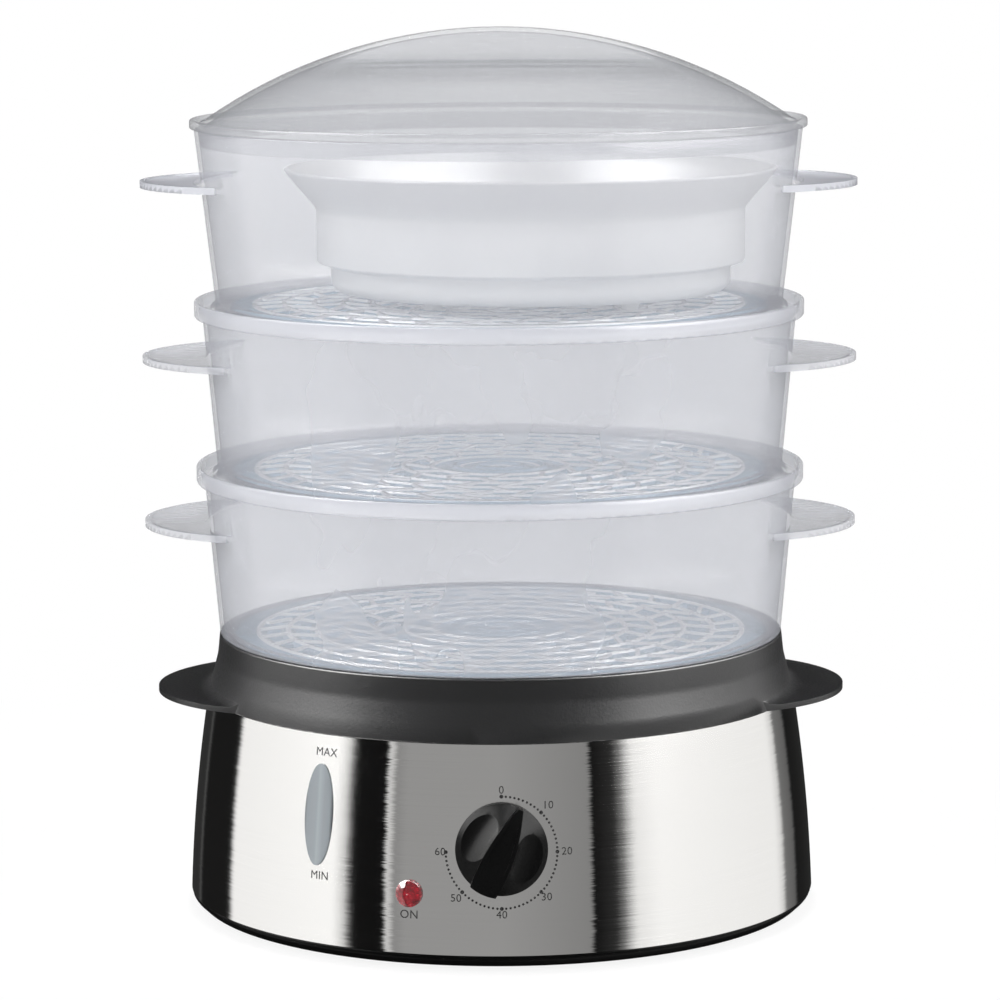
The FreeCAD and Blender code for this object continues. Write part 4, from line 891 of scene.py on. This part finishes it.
class STEAMER_OT_baskets(SteamerOperator):
    """Finishes the three basket rings in milky plastic with denser tabs"""

    bl_idname = "steamer.baskets"
    bl_label = "Baskets"

    def execute(self, context):
        tones = colours()
        milky = tones.milky
        thin = scaled(milky, 0.9)
        stacked = milky_plastic(
            "milky_wall", thin, 0.34, 0.5, 0.2, lambda tree: outside(tree, RIM_START), (0.46, milky)
        )
        top = milky_plastic(
            "milky_top_wall", thin, 0.3, 0.46, 0.2, lambda tree: outside(tree, TAB_START), (0.8, milky)
        )
        smooth_copy("lower_basket", stacked, 30.0)
        smooth_copy("middle_basket", stacked, 30.0)
        smooth_copy("top_basket", top, 30.0)
        return {"FINISHED"}


class STEAMER_OT_floors(SteamerOperator):
    """Finishes the three slotted basket floors and lays slanted ribs between their ring ribs"""

    bl_idname = "steamer.floors"
    bl_label = "Basket floors"

    def execute(self, context):
        measure = sizes()
        # The ring ribs are painted in the ribs' white, which is partly painted highlight
        lines = (0.95, tuple(colours().rib))
        material = milky_plastic("wet_floor", colours().floor, 0.6, 0.6, 0.08, ring_lines, lines)
        ribs = milky_plastic("floor_ribs", colours().rib, 0.9, 1.0, 0.1)
        tree = bars_group()
        for node in ("lower_floor_grid", "middle_floor_grid", "top_floor_grid"):
            skin = smooth_copy(node, material, 30.0)
            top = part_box(node)[1].z
            pieces = []
            for ring in range(FLOOR_RINGS):
                radius = HUB_RADIUS + RING_PITCH * (ring + 0.5)
                count = round(2 * math.pi * radius / 0.019)
                values = {
                    "Count": count,
                    "Radius": radius,
                    "Start": math.pi / count * (ring % 2),
                    "Slant": math.radians(38.0 if ring % 2 else -38.0),
                    "Unevenness": 0.35,
                    "Seed": measure.seed + ring,
                    "Bar": (RING_PITCH * 1.1, measure.rib_width, measure.rib_height),
                    "Material": ribs,
                }
                piece = grown(f"{node}_ribs_{ring}", tree, values)
                piece.data.transform(Matrix.Translation((0, 0, top + 0.0002 - measure.rib_height / 2)))
                pieces.append(piece)
            settle(self.joined(node + "_ribs", pieces), skin["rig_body"], SLOTS[node], ribs)
        return {"FINISHED"}

    def joined(self, name, pieces):
        """One object from several."""
        work = bmesh.new()
        for piece in pieces:
            work.from_mesh(piece.data)
            bpy.data.objects.remove(piece)
        mesh = bpy.data.meshes.new(name)
        work.to_mesh(mesh)
        work.free()
        return link(name, mesh)


class STEAMER_OT_bowl(SteamerOperator):
    """Finishes the rice bowl, with painted shade on its flare under the rim"""

    bl_idname = "steamer.bowl"
    bl_label = "Rice bowl"

    def execute(self, context):
        base = colours().bowl
        material, tree, shader = principled("bowl_white", base, 0.3)
        place = add(tree, "ShaderNodeTexCoord").outputs["Object"]
        height = wire(tree, "ShaderNodeSeparateXYZ", {0: place}).outputs["Z"]
        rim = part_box("rice_bowl")[1].z
        # Painted shade: the bowl's colour darkens to 0.8 of itself between 26 mm and 12 mm under its rim, and
        # stays that dark up to the rim, for the shadow of the rim and lid above
        painted_shade_band = spread(tree, height, 0.0, 1.0, rim - 0.026, rim - 0.012)
        fine = noise(tree, 40.0, detail=2.0)
        clear = tint(tree, fine, scaled(base, 0.96), scaled(base, 1.03))
        band = wire(tree, "ShaderNodeMix", {"Factor": painted_shade_band}, data_type="RGBA")
        tree.links.new(clear, band.inputs["A"])
        band.inputs["B"].default_value = (*scaled(base, 0.8), 1.0)
        tree.links.new(band.outputs["Result"], shader.inputs["Base Color"])
        bump(tree, shader, fine, 0.05, 0.0003)
        smooth_copy("rice_bowl", material, 30.0)
        return {"FINISHED"}


class STEAMER_OT_lid(SteamerOperator):
    """Makes the clear lid: a dome with an arched grip between two scoops, and its rim"""

    bl_idname = "steamer.lid"
    bl_label = "Lid"

    def execute(self, context):
        material = milky_plastic("clear_lid", scaled(colours().lid, 0.86), 0.3, 0.66, 0.12)
        smooth_copy("lid", material, 25.0, sizes().lid_round)
        return {"FINISHED"}


class STEAMER_OT_inner(SteamerOperator):
    """Finishes what the base and the stack hold inside"""

    bl_idname = "steamer.inner"
    bl_label = "Inner parts"

    def execute(self, context):
        white = plain_plastic("inner_white", (0.78, 0.78, 0.77))
        silicone = plain_plastic("seal_silicone", (0.5, 0.12, 0.08), 0.6)
        zinc = plain_metal("zinc_steel", (0.62, 0.62, 0.6))
        aluminium = plain_metal("plate_aluminium", (0.78, 0.78, 0.79), 0.34)
        brass = plain_metal("brass", (0.78, 0.58, 0.28))
        glass = plain_plastic("lamp_glass", (0.85, 0.8, 0.72), 0.1)
        insulation = plain_plastic("lead_insulation", (0.42, 0.06, 0.05), 0.5)
        smoke = plain_plastic("chamber_plastic", (0.5, 0.52, 0.54), 0.3)
        black = satin_moulding("inner_black", (0.03, 0.03, 0.03))
        finishes = {
            "cover_screws": zinc, "heater_screws": zinc, "heater_clamp_ring": zinc, "heater_coil": zinc,
            "timer_nut": zinc, "heater_plate": aluminium, "thermostat": brass, "timer_bell": brass,
            "thermal_fuse": glass, "lamp_bulb": glass, "gauge_seal": silicone, "gauge_tube": silicone,
            "heater_seal": silicone, "timer_case": white, "lamp_holder": white, "cord_clamp": white,
            "terminal_block": white, "gauge_chamber": smoke, "gland_nut": black, "lead_live": insulation,
            "lead_switched": insulation, "lead_neutral": insulation, "steam_sleeve": white,
            "drip_tray": white, "water_tank": black,
        }
        for node, material in finishes.items():
            smooth_copy(node, material)
        return {"FINISHED"}


OPERATORS = (
    STEAMER_OT_stage,
    STEAMER_OT_base,
    STEAMER_OT_print,
    STEAMER_OT_gauge,
    STEAMER_OT_lamp,
    STEAMER_OT_knob,
    STEAMER_OT_baskets,
    STEAMER_OT_floors,
    STEAMER_OT_bowl,
    STEAMER_OT_lid,
    STEAMER_OT_inner,
)


class STEAMER_PT_panel(bpy.types.Panel):
    """The steamer's colours, sizes and pieces"""

    bl_idname = "STEAMER_PT_panel"
    bl_label = "Food Steamer"
    bl_space_type = "VIEW_3D"
    bl_region_type = "UI"
    bl_category = "Steamer"

    def draw(self, context):
        for group in (context.scene.steamer_colours, context.scene.steamer_sizes):
            column = self.layout.column()
            for key in group.__annotations__:
                column.prop(group, key)
        for operator in OPERATORS:
            self.layout.operator(operator.bl_idname)


CLASSES = (SteamerColours, SteamerSizes, *OPERATORS, STEAMER_PT_panel)


def register():
    for item in CLASSES:
        bpy.utils.register_class(item)
    bpy.types.Scene.steamer_colours = PointerProperty(type=SteamerColours)
    bpy.types.Scene.steamer_sizes = PointerProperty(type=SteamerSizes)


def unregister():
    del bpy.types.Scene.steamer_sizes
    del bpy.types.Scene.steamer_colours
    for item in reversed(CLASSES):
        bpy.utils.unregister_class(item)


def main():
    register()
    for operator in OPERATORS:
        family, action = operator.bl_idname.split(".")
        getattr(getattr(bpy.ops, family), action)()


if __name__ == "__main__":
    main()
